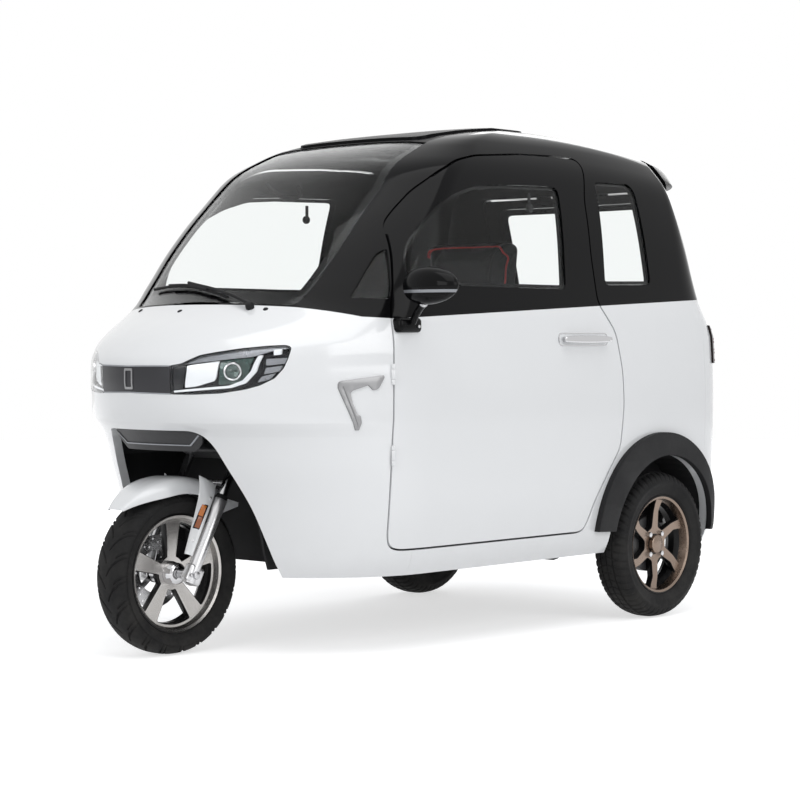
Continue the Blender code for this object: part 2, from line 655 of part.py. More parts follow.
def build_chassis(vehicle, core, steel):
    """Floor, rails, rear deck, front uprights and the head tube in one welded piece."""
    floor_low = FLOOR_Z - FLOOR_THICKNESS
    deck_wall = 0.012
    lap = 0.006
    plan = [(0.0, HOUSING_BACK_Y + SEAM), (0.60, HOUSING_BACK_Y + SEAM), (0.60, DECK_FRONT_Y + lap),
            (0.0, DECK_FRONT_Y + lap)]
    floor = slab(both_sides(plan), "plan", floor_low, FLOOR_Z)
    floor = combine(floor, copied(core, "inside"), "INTERSECT")
    deck_low = floor_low + lap
    deck = block((2 * DECK_HALF_WIDTH, DECK_BACK_Y - DECK_FRONT_Y, DECK_Z - deck_low),
                 (0, (DECK_BACK_Y + DECK_FRONT_Y) / 2, (DECK_Z + deck_low) / 2))
    hollow = block((2 * DECK_HALF_WIDTH + 0.1, DECK_BACK_Y - DECK_FRONT_Y, DECK_Z - deck_low),
                   (0, (DECK_BACK_Y + DECK_FRONT_Y) / 2 + deck_wall, (DECK_Z + deck_low) / 2 - deck_wall))
    step = block((2 * DECK_HALF_WIDTH + 0.1, DECK_BACK_Y - TAIL_SEAM_Y + 0.02, 2 * LUGGAGE_STEP),
                 (0, (DECK_BACK_Y + 0.02 + TAIL_SEAM_Y) / 2, DECK_Z))
    deck = combine(cut(deck, hollow, step), copied(core, "inside"), "INTERSECT")
    tread = block((2 * TREAD_HALF_WIDTH, TREAD_BACK_Y - TREAD_FRONT_Y, TREAD_RISE + 0.004),
                  (0, (TREAD_BACK_Y + TREAD_FRONT_Y) / 2, FLOOR_Z + (TREAD_RISE - 0.004) / 2))
    frame = join(floor, deck, tread)
    for sign in (1, -1):
        x = sign * RAIL_X
        frame = join(frame, block((0.04, DECK_FRONT_Y - HOUSING_BACK_Y - 0.02, 0.045),
                                  (x, (DECK_FRONT_Y + HOUSING_BACK_Y) / 2, floor_low - 0.0215)),
                     block((0.036, DECK_BACK_Y - DECK_FRONT_Y - 0.02, 0.045),
                           (x, (DECK_BACK_Y + DECK_FRONT_Y) / 2, DECK_Z - 0.030)))
    cross_y, cross_z = HOUSING_BACK_Y + 0.02, HEAD_CROSS_Z
    middle = FRONT_AXLE + STEER_DIRECTION * HEAD_AT
    half = STEER_DIRECTION * 0.06
    head = rod((-0.40, cross_y, cross_z), (0.40, cross_y, cross_z), 0.018, 12)
    head = join(head, block((0.03, cross_y - middle.y, 0.05), (0, (middle.y + cross_y) / 2, cross_z - 0.004)),
                rod(middle - half, middle + half, 0.028, 20))
    for sign in (1, -1):
        head = join(head, rod((sign * UPRIGHT_X, cross_y, floor_low + 0.005), (sign * UPRIGHT_X, cross_y, cross_z),
                              0.014, 10))
    head = cut(head, rod(middle - 2 * half, middle + 2 * half, STEM_RADIUS + PLAY, 20))
    frame = join(frame, head)
    finish(tidy(frame), "chassis", steel, vehicle)

    axle_z = REAR_TYRE_RADIUS
    beam_end = REAR_WHEEL_X - REAR_HUB_IN - SEAM
    axle = rod((-beam_end, 0, axle_z), (beam_end, 0, axle_z), 0.028)
    axle = join(axle, rod((-REAR_WHEEL_X, 0, axle_z), (REAR_WHEEL_X, 0, axle_z), AXLE_RADIUS),
                rod((-0.11, 0, axle_z), (0.11, 0, axle_z), 0.085, 20))
    top, reach = axle_z + 0.022, 0.26
    drop = 0.07
    arc = [(-reach + 2 * reach * i / 10, top + drop * ((i - 5) / 5) ** 2) for i in range(11)]
    spring = slab(arc + [(y, z + 0.014) for y, z in reversed(arc)], "side", SPRING_X - 0.025, SPRING_X + 0.025)
    seat = top + drop
    hanger_top = DECK_Z - 0.012 - SEAM
    for end in (-1, 1):
        spring = join(spring, block((0.03, 0.03, hanger_top - seat - 0.004),
                                    (SPRING_X, end * (reach - 0.016), (hanger_top + seat + 0.004) / 2)))
    axle = join(axle, mirrored(spring, "right_spring"), spring)
    finish(tidy(axle), "rear_axle", steel, vehicle)


def build_cabin(vehicle, core, trim, plastic):
    """Front wheel housing, dashboard, battery, seats."""
    wide, top, wall = HOUSING_HALF_WIDTH, HOUSING_TOP_Z, 0.006
    arch = [(wide, SILL_Z + 0.02), (wide, top - 0.10), (wide - 0.03, top - 0.03), (wide - 0.09, top)]
    outer = arch + [(-x, z) for x, z in reversed(arch)]
    housing = slab(outer, "front", -1.86, HOUSING_BACK_Y)
    housing = cut(housing, slab(grow(outer[:1] + outer[1:-1] + outer[-1:], -wall), "front", -1.90, HOUSING_BACK_Y - wall),
                  slab([(-wide + wall, 0.1), (wide - wall, 0.1), (wide - wall, 0.30), (-wide + wall, 0.30)],
                       "front", -1.90, HOUSING_BACK_Y - wall),
                  rod(FRONT_AXLE + STEER_DIRECTION * 0.44, FRONT_AXLE + STEER_DIRECTION * 0.62, 0.036, 20))
    housing = combine(housing, copied(core, "inside"), "INTERSECT")
    finish(tidy(housing), "wheel_housing", plastic, vehicle)

    top_z, low_z = DASH_Z, DASH_Z - 0.12
    dash = slab([(-0.6, -1.9), (0.6, -1.9), (0.6, DASH_BACK_Y), (-0.6, DASH_BACK_Y)], "plan", low_z, top_z)
    dash = cut(combine(dash, copied(core, "inside"), "INTERSECT"), skin("lining", -0.001, WALL + 0.0032))
    finish(tidy(dash), "dashboard", plastic, vehicle)

    finish(block((0.36, 0.40, SEAT_Z - 0.11 - FLOOR_Z - SEAM), (0, SEAT_Y, (SEAT_Z - 0.11 + FLOOR_Z + SEAM) / 2),
                 0.01), "battery_pack", plastic, vehicle)
    finish(block((SEAT_WIDTH, 0.44, 0.11 - SEAM), (0, SEAT_Y, SEAT_Z - 0.055 + SEAM / 2), 0.03, 3),
           "driver_cushion", trim, vehicle)
    back = block((SEAT_WIDTH, 0.10, SEAT_BACK_HEIGHT), (0, 0, SEAT_BACK_HEIGHT / 2), 0.035, 3)
    back.data.transform(Matrix.Translation((0, SEAT_Y + 0.265, SEAT_Z - 0.105)) @ Matrix.Rotation(radians(-8), 4, "X"))
    finish(back, "driver_backrest", trim, vehicle)
    finish(block((2 * DECK_HALF_WIDTH - 0.04, 0.36, 0.09), (0, -0.10, DECK_Z + 0.045 + SEAM), 0.03, 3),
           "rear_cushion", trim, vehicle)
    rear_back = block((2 * DECK_HALF_WIDTH - 0.04, 0.08, 0.42), (0, 0, 0.21), 0.03, 3)
    rear_back.data.transform(Matrix.Translation((0, 0.135, DECK_Z + SEAM + 0.0012))
                             @ Matrix.Rotation(radians(-8), 4, "X"))
    finish(rear_back, "rear_backrest", trim, vehicle)


def build_fittings(doors, clear, black, chrome):
    """The mirror, which is on the left only, and the door handles."""
    bpy.ops.mesh.primitive_uv_sphere_add(segments=16, ring_count=8, radius=1)
    head = bpy.context.active_object
    head.scale = (MIRROR_REACH, MIRROR_DEPTH, MIRROR_RISE)
    head.location = (MIRROR_X, MIRROR_Y, MIRROR_Z)
    head = baked(head)
    arm = rod((MIRROR_X - 0.020, MIRROR_Y + 0.005, MIRROR_Z - 0.030),
              (MIRROR_X - 0.117, MIRROR_FOOT_Y, MIRROR_FOOT_Z + 0.003), MIRROR_ARM_RADIUS, 12)
    foot_x = nose_side(MIRROR_FOOT_Y, MIRROR_FOOT_Z) - 0.004
    foot = block(MIRROR_FOOT_SIZE, (foot_x, MIRROR_FOOT_Y, MIRROR_FOOT_Z), 0.008, 2)
    mirror = cut(join(head, arm, foot), clear)
    finish(tidy(mirror), "mirror_left", black, doors["left"])
    width = along(SIDE, HANDLE_Z)
    for side, sign in (("left", 1), ("right", -1)):
        bar = block((HANDLE_THICKNESS, HANDLE_LENGTH, HANDLE_HEIGHT),
                    (sign * (width + HANDLE_OUT), HANDLE_Y, HANDLE_Z), 0.005, 2)
        for end in (-1, 1):
            post = (sign * (width + HANDLE_OUT - 0.0098), HANDLE_Y + end * (HANDLE_LENGTH / 2 - 0.0225), HANDLE_Z)
            bar = join(bar, block((0.026, 0.03, HANDLE_HEIGHT - 0.006), post))
        finish(tidy(bar), "door_handle_" + side, chrome, doors[side])


def hinge(holder, leaf, place, axis, into_holder, into_leaf):
    """A knuckle of the leaf turning on a pin between two knuckles of the holder."""
    place, axis = Vector(place), Vector(axis)
    into_holder, into_leaf = Vector(into_holder).normalized(), Vector(into_leaf).normalized()
    half, out = HINGE_LENGTH / 2, HINGE_LENGTH
    room = rod(place - axis * (out + PLAY), place + axis * (out + PLAY), HINGE_KNUCKLE_RADIUS + 0.0025, 16)
    holder, leaf = cut(holder, copied(room, "room")), cut(leaf, room)
    def knuckle(low, high, towards):
        start, end = place + axis * low, place + axis * high
        tube = rod(start, end, HINGE_KNUCKLE_RADIUS, 12)
        thick = axis.cross(towards).normalized() * 0.004
        span = [start, start + towards * HINGE_TONGUE, end + towards * HINGE_TONGUE, end]
        plate = bpy.data.meshes.new("plate")
        plate.from_pydata([point + shift for shift in (-thick, thick) for point in span], [],
                          [(3, 2, 1, 0), (4, 5, 6, 7)] + [(i, (i + 1) % 4, (i + 1) % 4 + 4, i + 4)
                                                          for i in range(4)])
        return join(tube, outward(new_object("plate", plate)))

    holder = join(holder, knuckle(half + PLAY, out, into_holder), knuckle(-out, -half - PLAY, into_holder))
    holder = join(holder, rod(place - axis * (out - 0.001), place + axis * (out - 0.001), HINGE_PIN_RADIUS, 10))
    leaf = join(leaf, knuckle(-half, half, into_leaf))
    return holder, cut(leaf, rod(place - axis * half * 1.5, place + axis * half * 1.5, HINGE_PIN_RADIUS + PLAY, 10))


def build():
    clear_scene()
    white = paint("body_white", (0.84, 0.85, 0.85), 0.16)
    black = paint("gloss_black", (0.012, 0.012, 0.014), 0.12)
    plastic = paint("black_plastic", (0.03, 0.03, 0.032), 0.55)
    steel = paint("painted_steel", (0.04, 0.04, 0.045), 0.45, 0.2)
    silver = paint("silver_metal", (0.62, 0.62, 0.63), 0.32, 1.0)
    rubber = paint("tyre_rubber", (0.025, 0.025, 0.026), 0.85)
    glass = paint("tinted_glass", (0.05, 0.06, 0.06), 0.05, 0.0, 0.35)
    lamp = paint("lamp_clear", (0.75, 0.78, 0.80), 0.08)
    red = paint("lamp_red", (0.45, 0.02, 0.02), 0.12)
    trim = paint("seat_leather", (0.03, 0.03, 0.033), 0.6)
    chrome = paint("chrome", (0.80, 0.80, 0.80), 0.12, 1.0)

    # The mirror, on the left side only, puts the plan box off the vehicle's centre plane
    flare_x = max(value for height, value in SIDE if height < 1.0) + FLARE_REACH - 0.0024
    centre_x = (flare_x - MIRROR_X - MIRROR_REACH) / 2
    vehicle = empty("vehicle", (centre_x, REAR_AXLE_Y, 0), None)
    head = FRONT_AXLE + STEER_DIRECTION * HEAD_AT
    steering = empty("steering", head, vehicle)
    front_wheel = empty("front_wheel", FRONT_AXLE, steering)
    rear_wheels = {side: empty("rear_wheel_" + side, (sign * REAR_WHEEL_X, 0, REAR_TYRE_RADIUS), vehicle)
                   for side, sign in (("left", 1), ("right", -1))}
    hinge_x = max(nose_side(HINGE_Y, z) for z in STATIONS if z < 1.0) + HINGE_PROUD
    doors = {side: empty("door_" + side, (sign * hinge_x, HINGE_Y, SILL_Z), vehicle)
             for side, sign in (("left", 1), ("right", -1))}
    hatch_body = empty("hatch", (0, HATCH_HINGE.y, HATCH_HINGE.z), vehicle)

    shell = skin("shell", 0.0, WALL)
    pane = skin("pane", GLASS_SINK, GLASS_THICKNESS)
    core = combine(lofted("core", closed=True), skin("sleeve", -0.001, 0.001 + WALL + 2 * SEAM), "DIFFERENCE")

    def panel(source, region, view, low, high):
        return combine(copied(source, "panel"), slab(region, view, low, high), "INTERSECT")

    def side_slab(region, high=PAST_SIDE):
        return slab(region, "side", HALF_X / 2, high)

    def nose_slab(region):
        return slab(region, "front", PAST_NOSE_Y, NOSE_BACK_Y)

    def pair(item, name, material, body=None):
        bodies = body if isinstance(body, dict) else {"left": body or vehicle, "right": body or vehicle}
        item = tidy(item)
        twin = mirrored(item, name + "_right")
        finish(item, name + "_left", material, bodies["left"])
        finish(twin, name + "_right", material, bodies["right"])

    # White lower body
    opening = grow(DOOR, DOOR_GAP)
    front = panel(shell, under_belt(PAST_NOSE_Y, FRONT_SEAM_Y), "side", -PAST_SIDE, PAST_SIDE)
    front = cut(front, slab(opening, "side", -PAST_SIDE, PAST_SIDE),
                nose_slab(both_sides(FRONT_OPENING)),
                nose_slab(both_sides(NOSE_BAND[:2] + [(0.156, 0.790), (0.156, 0.860)] + NOSE_BAND[2:])),
                nose_slab(HEADLAMP), nose_slab([(-x, z) for x, z in HEADLAMP]))

    wheel_gap = circle((0, REAR_TYRE_RADIUS + ARCH_RISE), ARCH_RADIUS, steps=40)
    side = panel(shell, under_belt(FRONT_SEAM_Y + SEAM, TAIL_SEAM_Y), "side", HALF_X, PAST_SIDE)
    pair(cut(side, side_slab(opening), side_slab(wheel_gap)), "side_body", white)

    tail = panel(shell, under_belt(TAIL_SEAM_Y + SEAM, PAST_TAIL_Y), "side", -PAST_SIDE, PAST_SIDE)
    hatch_outline = both_sides([(0.0, HATCH_BOTTOM_Z), (HATCH_HALF_WIDTH, HATCH_BOTTOM_Z),
                                (HATCH_HALF_WIDTH, 1.08), (HATCH_HALF_WIDTH - 0.03, HATCH_TOP_Z),
                                (0.0, HATCH_TOP_Z)])
    hatch_gap = grow(hatch_outline, DOOR_GAP)
    tail = cut(tail, slab(hatch_gap, "front", 0.0, PAST_TAIL_Y),
               slab(wheel_gap, "side", DECK_HALF_WIDTH, PAST_SIDE),
               slab(wheel_gap, "side", -PAST_SIDE, -DECK_HALF_WIDTH),
               slab(TAIL_LAMP, "front", TAIL_LAMP_Y, PAST_TAIL_Y),
               slab([(-x, z) for x, z in TAIL_LAMP], "front", TAIL_LAMP_Y, PAST_TAIL_Y))
    finish(tidy(tail), "rear_body", white, vehicle)

    # Black upper body
    frame = panel(shell, over_belt(PAST_NOSE_Y, PAST_TAIL_Y), "side", HALF_X, PAST_SIDE)
    roof_strip = both_sides([(0.0, ROOF_EDGE_Z), (ROOF_HALF_WIDTH, ROOF_EDGE_Z),
                             (ROOF_HALF_WIDTH, PAST_ROOF_Z), (0.0, PAST_ROOF_Z)])
    frame = cut(frame, slab(both_sides(SCREEN), "front", PAST_NOSE_Y, SCREEN_TOP_Y),
                slab(roof_strip, "front", SCREEN_TOP_Y - 0.001, PAST_TAIL_Y),
                side_slab(opening), side_slab(QUARTER_GLASS), side_slab(CORNER_GLASS),
                slab(hatch_gap, "front", 0.0, PAST_TAIL_Y),
                slab(over_tail(SEAM), "side", -HALF_X, PAST_SIDE))
    pair(frame, "side_frame", black)

    roof = panel(shell, grow(roof_strip, -SEAM), "front", SCREEN_TOP_Y + SEAM, PAST_TAIL_Y)
    roof = cut(roof, slab(over_tail(SEAM), "side", -PAST_SIDE, PAST_SIDE))
    lid_corner = LID_HALF_WIDTH - LID_CORNER
    lid = both_sides([(0.0, LID_FRONT_Y), (lid_corner, LID_FRONT_Y), (LID_HALF_WIDTH, LID_FRONT_Y + LID_CORNER),
                      (LID_HALF_WIDTH, LID_BACK_Y - LID_CORNER), (lid_corner, LID_BACK_Y), (0.0, LID_BACK_Y)])
    lid_skin = skin("lid_skin", -LID_PROUD, LID_PROUD + 0.006)
    roof = join(roof, combine(lid_skin, slab(lid, "plan", ROOF_EDGE_Z, PAST_ROOF_Z), "INTERSECT"))
    finish(tidy(roof), "roof", black, vehicle)
    spoiler = combine(lofted("spoiler", SPOILER_TAIL, True), slab(over_tail(0), "side", -PAST_SIDE, PAST_SIDE),
                      "INTERSECT")
    screen = panel(pane, grow(both_sides(SCREEN), -SEAM), "front", PAST_NOSE_Y, SCREEN_TOP_Y - SEAM)
    finish(tidy(screen), "windscreen", glass, vehicle)
    pair(panel(pane, grow(QUARTER_GLASS, -SEAM), "side", HALF_X, PAST_SIDE), "quarter_glass", glass)
    pair(panel(pane, grow(CORNER_GLASS, -SEAM), "side", HALF_X, PAST_SIDE), "corner_glass", glass)

    # Doors
    door_low = combine(panel(shell, DOOR, "side", HALF_X, PAST_SIDE),
                       side_slab(under_belt(PAST_NOSE_Y, 0.0)), "INTERSECT")
    for side, sign in (("left", 1), ("right", -1)):
        door = copied(door_low, "door") if sign > 0 else mirrored(door_low, "door")
        for height in HINGE_HEIGHTS:
            front, door = hinge(front, door, (sign * hinge_x, HINGE_Y, height), (0, 0, 1),
                                (-0.6 * sign, -1, 0), (-0.6 * sign, 1, 0))
        finish(tidy(door), "door_panel_" + side, white, doors[side])
    finish(tidy(front), "front_body", white, vehicle)
    bpy.data.objects.remove(door_low, do_unlink=True)
    door_high = combine(panel(shell, DOOR, "side", HALF_X, PAST_SIDE),
                        side_slab(over_belt(PAST_NOSE_Y, 0.0)), "INTERSECT")
    pair(cut(door_high, side_slab(DOOR_GLASS)), "door_frame", black, doors)
    pair(panel(pane, grow(DOOR_GLASS, -SEAM), "side", HALF_X, PAST_SIDE), "door_glass", glass, doors)

    # What shows at the lamps
    lamp_skin = skin("lamp_skin", -0.008, 0.008 + WALL)
    pair(combine(copied(shell, "lamp"), nose_slab(grow(HEADLAMP, -SEAM)), "INTERSECT"), "headlamp", lamp)
    band = combine(copied(shell, "band"), nose_slab(grow(both_sides(NOSE_BAND), -SEAM)), "INTERSECT")
    finish(tidy(band), "nose_band", black, vehicle)
    pair(panel(lamp_skin, grow(TAIL_LAMP, -SEAM), "front", TAIL_LAMP_Y + SEAM, PAST_TAIL_Y), "tail_lamp", red)

    # Hatch
    hatch = panel(shell, hatch_outline, "front", TAIL_FRONT_Y, PAST_TAIL_Y)
    low = slab(under_belt(0.0, PAST_TAIL_Y), "side", -PAST_SIDE, PAST_SIDE)
    finish(tidy(combine(copied(hatch, "low"), low, "INTERSECT")), "hatch_panel", white, hatch_body)
    high = combine(hatch, slab(over_belt(0.0, PAST_TAIL_Y), "side", -PAST_SIDE, PAST_SIDE), "INTERSECT")
    high = cut(high, slab(HATCH_GLASS, "front", 0.0, PAST_TAIL_Y))
    for sign in (1, -1):
        place = Vector((sign * HATCH_HINGE.x, HATCH_HINGE.y, HATCH_HINGE.z))
        spoiler, high = hinge(spoiler, high, place, (1, 0, 0), (0, 0, 1), (0, -0.1, -1))
    finish(tidy(cut(spoiler, copied(core, "inside"))), "rear_spoiler", black, vehicle)
    finish(tidy(high), "hatch_frame", black, hatch_body)
    finish(tidy(panel(pane, grow(HATCH_GLASS, -SEAM), "front", TAIL_FRONT_Y, PAST_TAIL_Y)), "hatch_glass",
           glass, hatch_body)

    # Arch flares and wheel houses
    arch_centre = (0.0, REAR_TYRE_RADIUS + ARCH_RISE)
    flare_skin = skin("flare_skin", -FLARE_REACH, FLARE_REACH + 0.010)
    clear = lofted("clear", closed=True)
    shift = clear.modifiers.new("Clear", "DISPLACE")
    shift.strength = SEAM
    shift.mid_level = 0.0
    clear = baked(clear)
    flare = panel(flare_skin, circle(FLARE_CENTRE, FLARE_RADIUS, steps=40), "side", HALF_X, PAST_SIDE)
    flare = cut(flare, copied(clear, "clear"), side_slab(circle(arch_centre, ARCH_RADIUS - 0.003, steps=40)),
                side_slab([(-PAST_SIDE, 0.0), (PAST_SIDE, 0.0), (PAST_SIDE, FLARE_LOW_Z - 0.01),
                           (-PAST_SIDE, FLARE_LOW_Z + 0.05)]))
    pair(flare, "arch_flare", plastic)
    house_x = DECK_HALF_WIDTH + SEAM
    sector = circle(arch_centre, ARCH_RADIUS + 0.014, -0.12, pi + 0.12, 28)
    house = join(slab(sector, "side", house_x, house_x + 0.006),
                 slab(sector + circle(arch_centre, ARCH_RADIUS + 0.008, pi + 0.12, -0.12, 28),
                      "side", house_x + 0.001, PAST_SIDE))
    house = cut(combine(house, copied(core, "inside"), "INTERSECT"),
                side_slab([(-0.05, 0.0), (0.05, 0.0), (0.05, REAR_TYRE_RADIUS + 0.113),
                           (-0.05, REAR_TYRE_RADIUS + 0.113)], DECK_HALF_WIDTH + 0.076),
                side_slab([(-PAST_SIDE, 0.0), (PAST_SIDE, 0.0), (PAST_SIDE, FLOOR_Z), (-PAST_SIDE, FLOOR_Z)]))
    pair(house, "wheel_house", plastic)

    build_wheels(front_wheel, rear_wheels, rubber, silver, steel)
    build_steering(steering, steel, silver, white, plastic)
    build_chassis(vehicle, core, steel)
    build_cabin(vehicle, core, trim, plastic)
    build_fittings(doors, clear, black, chrome)

    for item in (shell, pane, lamp_skin, core, flare_skin):
        bpy.data.objects.remove(item, do_unlink=True)


build()
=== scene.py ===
"""Looks of an electric three-wheel moped with a closed cabin.

Every piece is modelled in the vehicle's own frame: X from its centre plane, Y from the rear axle,
Z from the ground. settle() then moves its mesh to where the solids are.
"""

import bpy
import bmesh
import json
import numpy as np
from math import cos, pi, radians, sin
from mathutils import Matrix, Vector
from mathutils.bvhtree import BVHTree
from mathutils.interpolate import poly_3d_calc


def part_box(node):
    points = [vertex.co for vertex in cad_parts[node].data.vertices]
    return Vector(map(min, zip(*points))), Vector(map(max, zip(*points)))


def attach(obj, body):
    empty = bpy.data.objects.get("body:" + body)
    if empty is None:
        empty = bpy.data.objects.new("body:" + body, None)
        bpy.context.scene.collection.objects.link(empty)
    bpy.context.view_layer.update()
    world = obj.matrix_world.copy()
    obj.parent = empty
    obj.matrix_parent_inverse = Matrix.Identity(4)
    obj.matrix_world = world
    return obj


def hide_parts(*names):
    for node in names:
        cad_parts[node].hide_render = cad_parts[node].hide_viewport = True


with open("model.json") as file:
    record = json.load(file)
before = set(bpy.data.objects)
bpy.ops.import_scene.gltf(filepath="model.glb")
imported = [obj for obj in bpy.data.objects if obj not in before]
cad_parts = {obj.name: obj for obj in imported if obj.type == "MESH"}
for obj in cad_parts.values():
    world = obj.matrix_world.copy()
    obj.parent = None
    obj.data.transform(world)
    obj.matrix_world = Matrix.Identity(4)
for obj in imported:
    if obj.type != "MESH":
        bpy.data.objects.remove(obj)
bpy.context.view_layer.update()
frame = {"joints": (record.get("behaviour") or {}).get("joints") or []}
JOINTS = {joint["name"]: joint for joint in frame["joints"]}
ORIGIN = (0, 0, 0)
SIDES = ((1, "left"), (-1, "right"))

# Places read from the solids
OFFSET = Vector((JOINTS["front_wheel_spin"]["pos_m"][0], JOINTS["rear_wheel_left_spin"]["pos_m"][1], 0))
FRONT_AXLE = Vector(JOINTS["front_wheel_spin"]["pos_m"]) - OFFSET
REAR_AXLE = Vector(JOINTS["rear_wheel_left_spin"]["pos_m"]) - OFFSET
STEER_DIRECTION = Vector(JOINTS["steer"]["axis"])
FRONT_TYRE_RADIUS, REAR_TYRE_RADIUS = FRONT_AXLE.z, REAR_AXLE.z
DOOR_HINGE = Vector(JOINTS["door_left_swing"]["pos_m"]) - OFFSET
HATCH_HINGE = Vector(JOINTS["hatch_lift"]["pos_m"]) - OFFSET


def size_of(node):
    low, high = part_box(node)
    return high - low


FRONT_TYRE_WIDTH, REAR_TYRE_WIDTH = size_of("front_tyre").x, size_of("rear_tyre_left").x
FRONT_RIM_RADIUS, REAR_RIM_RADIUS = size_of("front_rim").z / 2, size_of("rear_rim_left").z / 2
FRONT_RIM_WIDTH, REAR_RIM_WIDTH = 0.092, size_of("rear_rim_left").x

# Body shell
WALL = 0.028
GLASS_THICKNESS = 0.005
GLASS_SINK = 0.004
SEAM = 0.0004
DOOR_GAP = 0.006
TAIL_Y = 0.430
TAIL_START = 0.120
FRONT_SEAM_Y = -1.260
TAIL_SEAM_Y = 0.235
TAIL_LAMP_Y = 0.300
SILL_Z = 0.238
SCREEN_TOP_Y = -0.930
ROOF_HALF_WIDTH = 0.330
ROOF_TOP_Z = 1.63
ROOF_STRIP_Z = 1.47
ROOF_FALL = 0.075
ROOF_FALL_FROM = -0.45
ROOF_FALL_START_Z = 1.0
SPOILER_Y = 0.170
SPOILER_LOW_Z = 1.463
HATCH_HALF_WIDTH = 0.400
HATCH_BOTTOM_Z = 0.790
HATCH_TOP_Z = 1.455
HATCH_WAIST_Z = 1.08
HATCH_TAPER = 0.03
ARCH_RADIUS = 0.288
ARCH_RISE = 0.020
FLARE_RADIUS = 0.345
FLARE_REACH = 0.0215
FLARE_CENTRE = (-0.03, 0.285)
DECK_HALF_WIDTH = 0.424
LID_RISE = 0.0085
LID_GAP = 0.004
UNDER_ROOF_Z = 1.3
OVER_ROOF_Z = 1.8
AHEAD_Y, BEHIND_Y = -2.2, 0.8
BESIDE_X = 0.8
BEYOND = 0.9

# Curves of the body against height: each row is a height and the value there
SIDE = [(0.20, 0.529), (0.30, 0.575), (0.50, 0.590), (0.75, 0.595), (1.00, 0.582), (1.10, 0.568),
        (1.30, 0.540), (1.45, 0.505), (1.50, 0.485), (1.55, 0.450), (1.60, 0.400), (1.63, 0.300)]
NOSE = [(0.20, -1.65), (0.44, -1.71), (0.56, -1.76), (0.66, -1.805), (0.70, -1.845), (0.78, -1.868),
        (0.82, -1.874), (0.866, -1.874), (0.915, -1.834), (0.96, -1.775), (1.048, -1.611),
        (1.104, -1.55), (1.21, -1.455), (1.325, -1.345), (1.409, -1.25), (1.478, -1.165),
        (1.534, -1.06), (1.58, -0.92), (1.61, -0.75), (1.63, -0.60)]
NOSE_START = [(1.10, -1.20), (1.21, -1.15), (1.325, -1.07), (1.409, -1.00), (1.478, -0.93),
              (1.534, -0.83), (1.57, -0.79), (1.60, -0.70), (1.63, -0.50)]
NOSE_POWER = [(0.70, 1.95), (0.80, 1.87), (0.866, 1.87), (0.93, 2.0), (1.35, 2.0), (1.50, 2.3)]
TAIL = [(0.95, TAIL_Y), (1.08, TAIL_Y - 0.04), (1.47, TAIL_Y - 0.175), (1.63, TAIL_Y - 0.28)]
SPOILER_TAIL = [(1.47, TAIL_Y - 0.175), (1.50, TAIL_Y - 0.175), (1.534, TAIL_Y - 0.02),
                (1.58, TAIL_Y - 0.012), (1.61, TAIL_Y - 0.06), (1.63, TAIL_Y - 0.16)]
TAIL_POWER = [(0.95, 4.0), (1.08, 3.0), (1.47, 2.5)]

# Rows and columns of the body surface
LEVELS = 72
NOSE_COLUMNS = 40
SIDE_COLUMNS = 14
TAIL_COLUMNS = 22
CAP_RINGS = (0.85, 0.68, 0.5, 0.32, 0.15)
EXTRA_LEVELS = [0.66, 0.70, 0.866, 1.618, 1.625]

# Side view outlines, (Y, Z)
BELT = [(-2.30, 1.049), (-1.62, 1.049), (-1.535, 1.038), (-1.42, 1.010), (-1.33, 1.005),
        (-0.34, 1.053), (0.19, 1.078), (0.60, 1.09)]
DOOR = [(-1.345, 0.36), (-1.345, 0.68), (-1.335, 1.005), (-1.254, 1.286), (-1.213, 1.327),
        (-1.131, 1.396), (-1.04, 1.454), (-0.952, 1.496), (-0.86, 1.516), (-0.625, 1.534),
        (-0.457, 1.538), (-0.335, 1.536), (-0.318, 1.515), (-0.36, 1.40), (-0.367, 1.219),
        (-0.356, 1.06), (-0.273, 0.964), (-0.246, 0.84), (-0.24, 0.722), (-0.256, 0.589),
        (-0.325, 0.50), (-0.385, 0.42), (-0.43, 0.334), (-0.455, 0.32), (-1.315, 0.32),
        (-1.338, 0.332)]
DOOR_GLASS = [(-1.262, 1.105), (-1.259, 1.176), (-1.242, 1.22), (-1.202, 1.265), (-1.122, 1.33),
              (-1.088, 1.354), (-1.005, 1.392), (-0.906, 1.42), (-0.776, 1.43), (-0.505, 1.437),
              (-0.487, 1.421), (-0.493, 1.345), (-0.503, 1.231), (-0.514, 1.105)]
QUARTER_GLASS = [(-0.304, 1.122), (-0.279, 1.464), (-0.087, 1.468), (-0.061, 1.442),
                 (-0.047, 1.127)]
CORNER_GLASS = [(-1.423, 1.066), (-1.315, 1.200), (-1.285, 1.215), (-1.325, 1.064)]

# Front view outlines, (X, Z), left half where they cross the centre plane
SCREEN = [(0.0, 1.056), (0.353, 1.044), (0.366, 1.104), (0.379, 1.21), (0.376, 1.325),
          (0.373, 1.409), (0.355, 1.478), (0.345, 1.534), (0.330, 1.58), (0.330, 1.66),
          (0.0, 1.66)]
FRONT_OPENING = [(0.0, 0.675), (0.190, 0.675), (0.222, 0.640), (0.255, 0.54), (0.285, 0.44),
                 (0.330, 0.235), (0.330, 0.20), (0.0, 0.20)]
HEADLAMP = [(0.150, 0.782), (0.213, 0.782), (0.286, 0.786), (0.342, 0.797), (0.376, 0.809),
            (0.406, 0.830), (0.423, 0.860), (0.430, 0.889), (0.432, 0.914), (0.430, 0.921),
            (0.419, 0.927), (0.383, 0.925), (0.322, 0.917), (0.264, 0.906), (0.227, 0.898),
            (0.205, 0.886), (0.183, 0.873), (0.150, 0.868)]
NOSE_BAND = [(0.0, 0.785), (0.150, 0.782), (0.150, 0.868), (0.0, 0.866)]
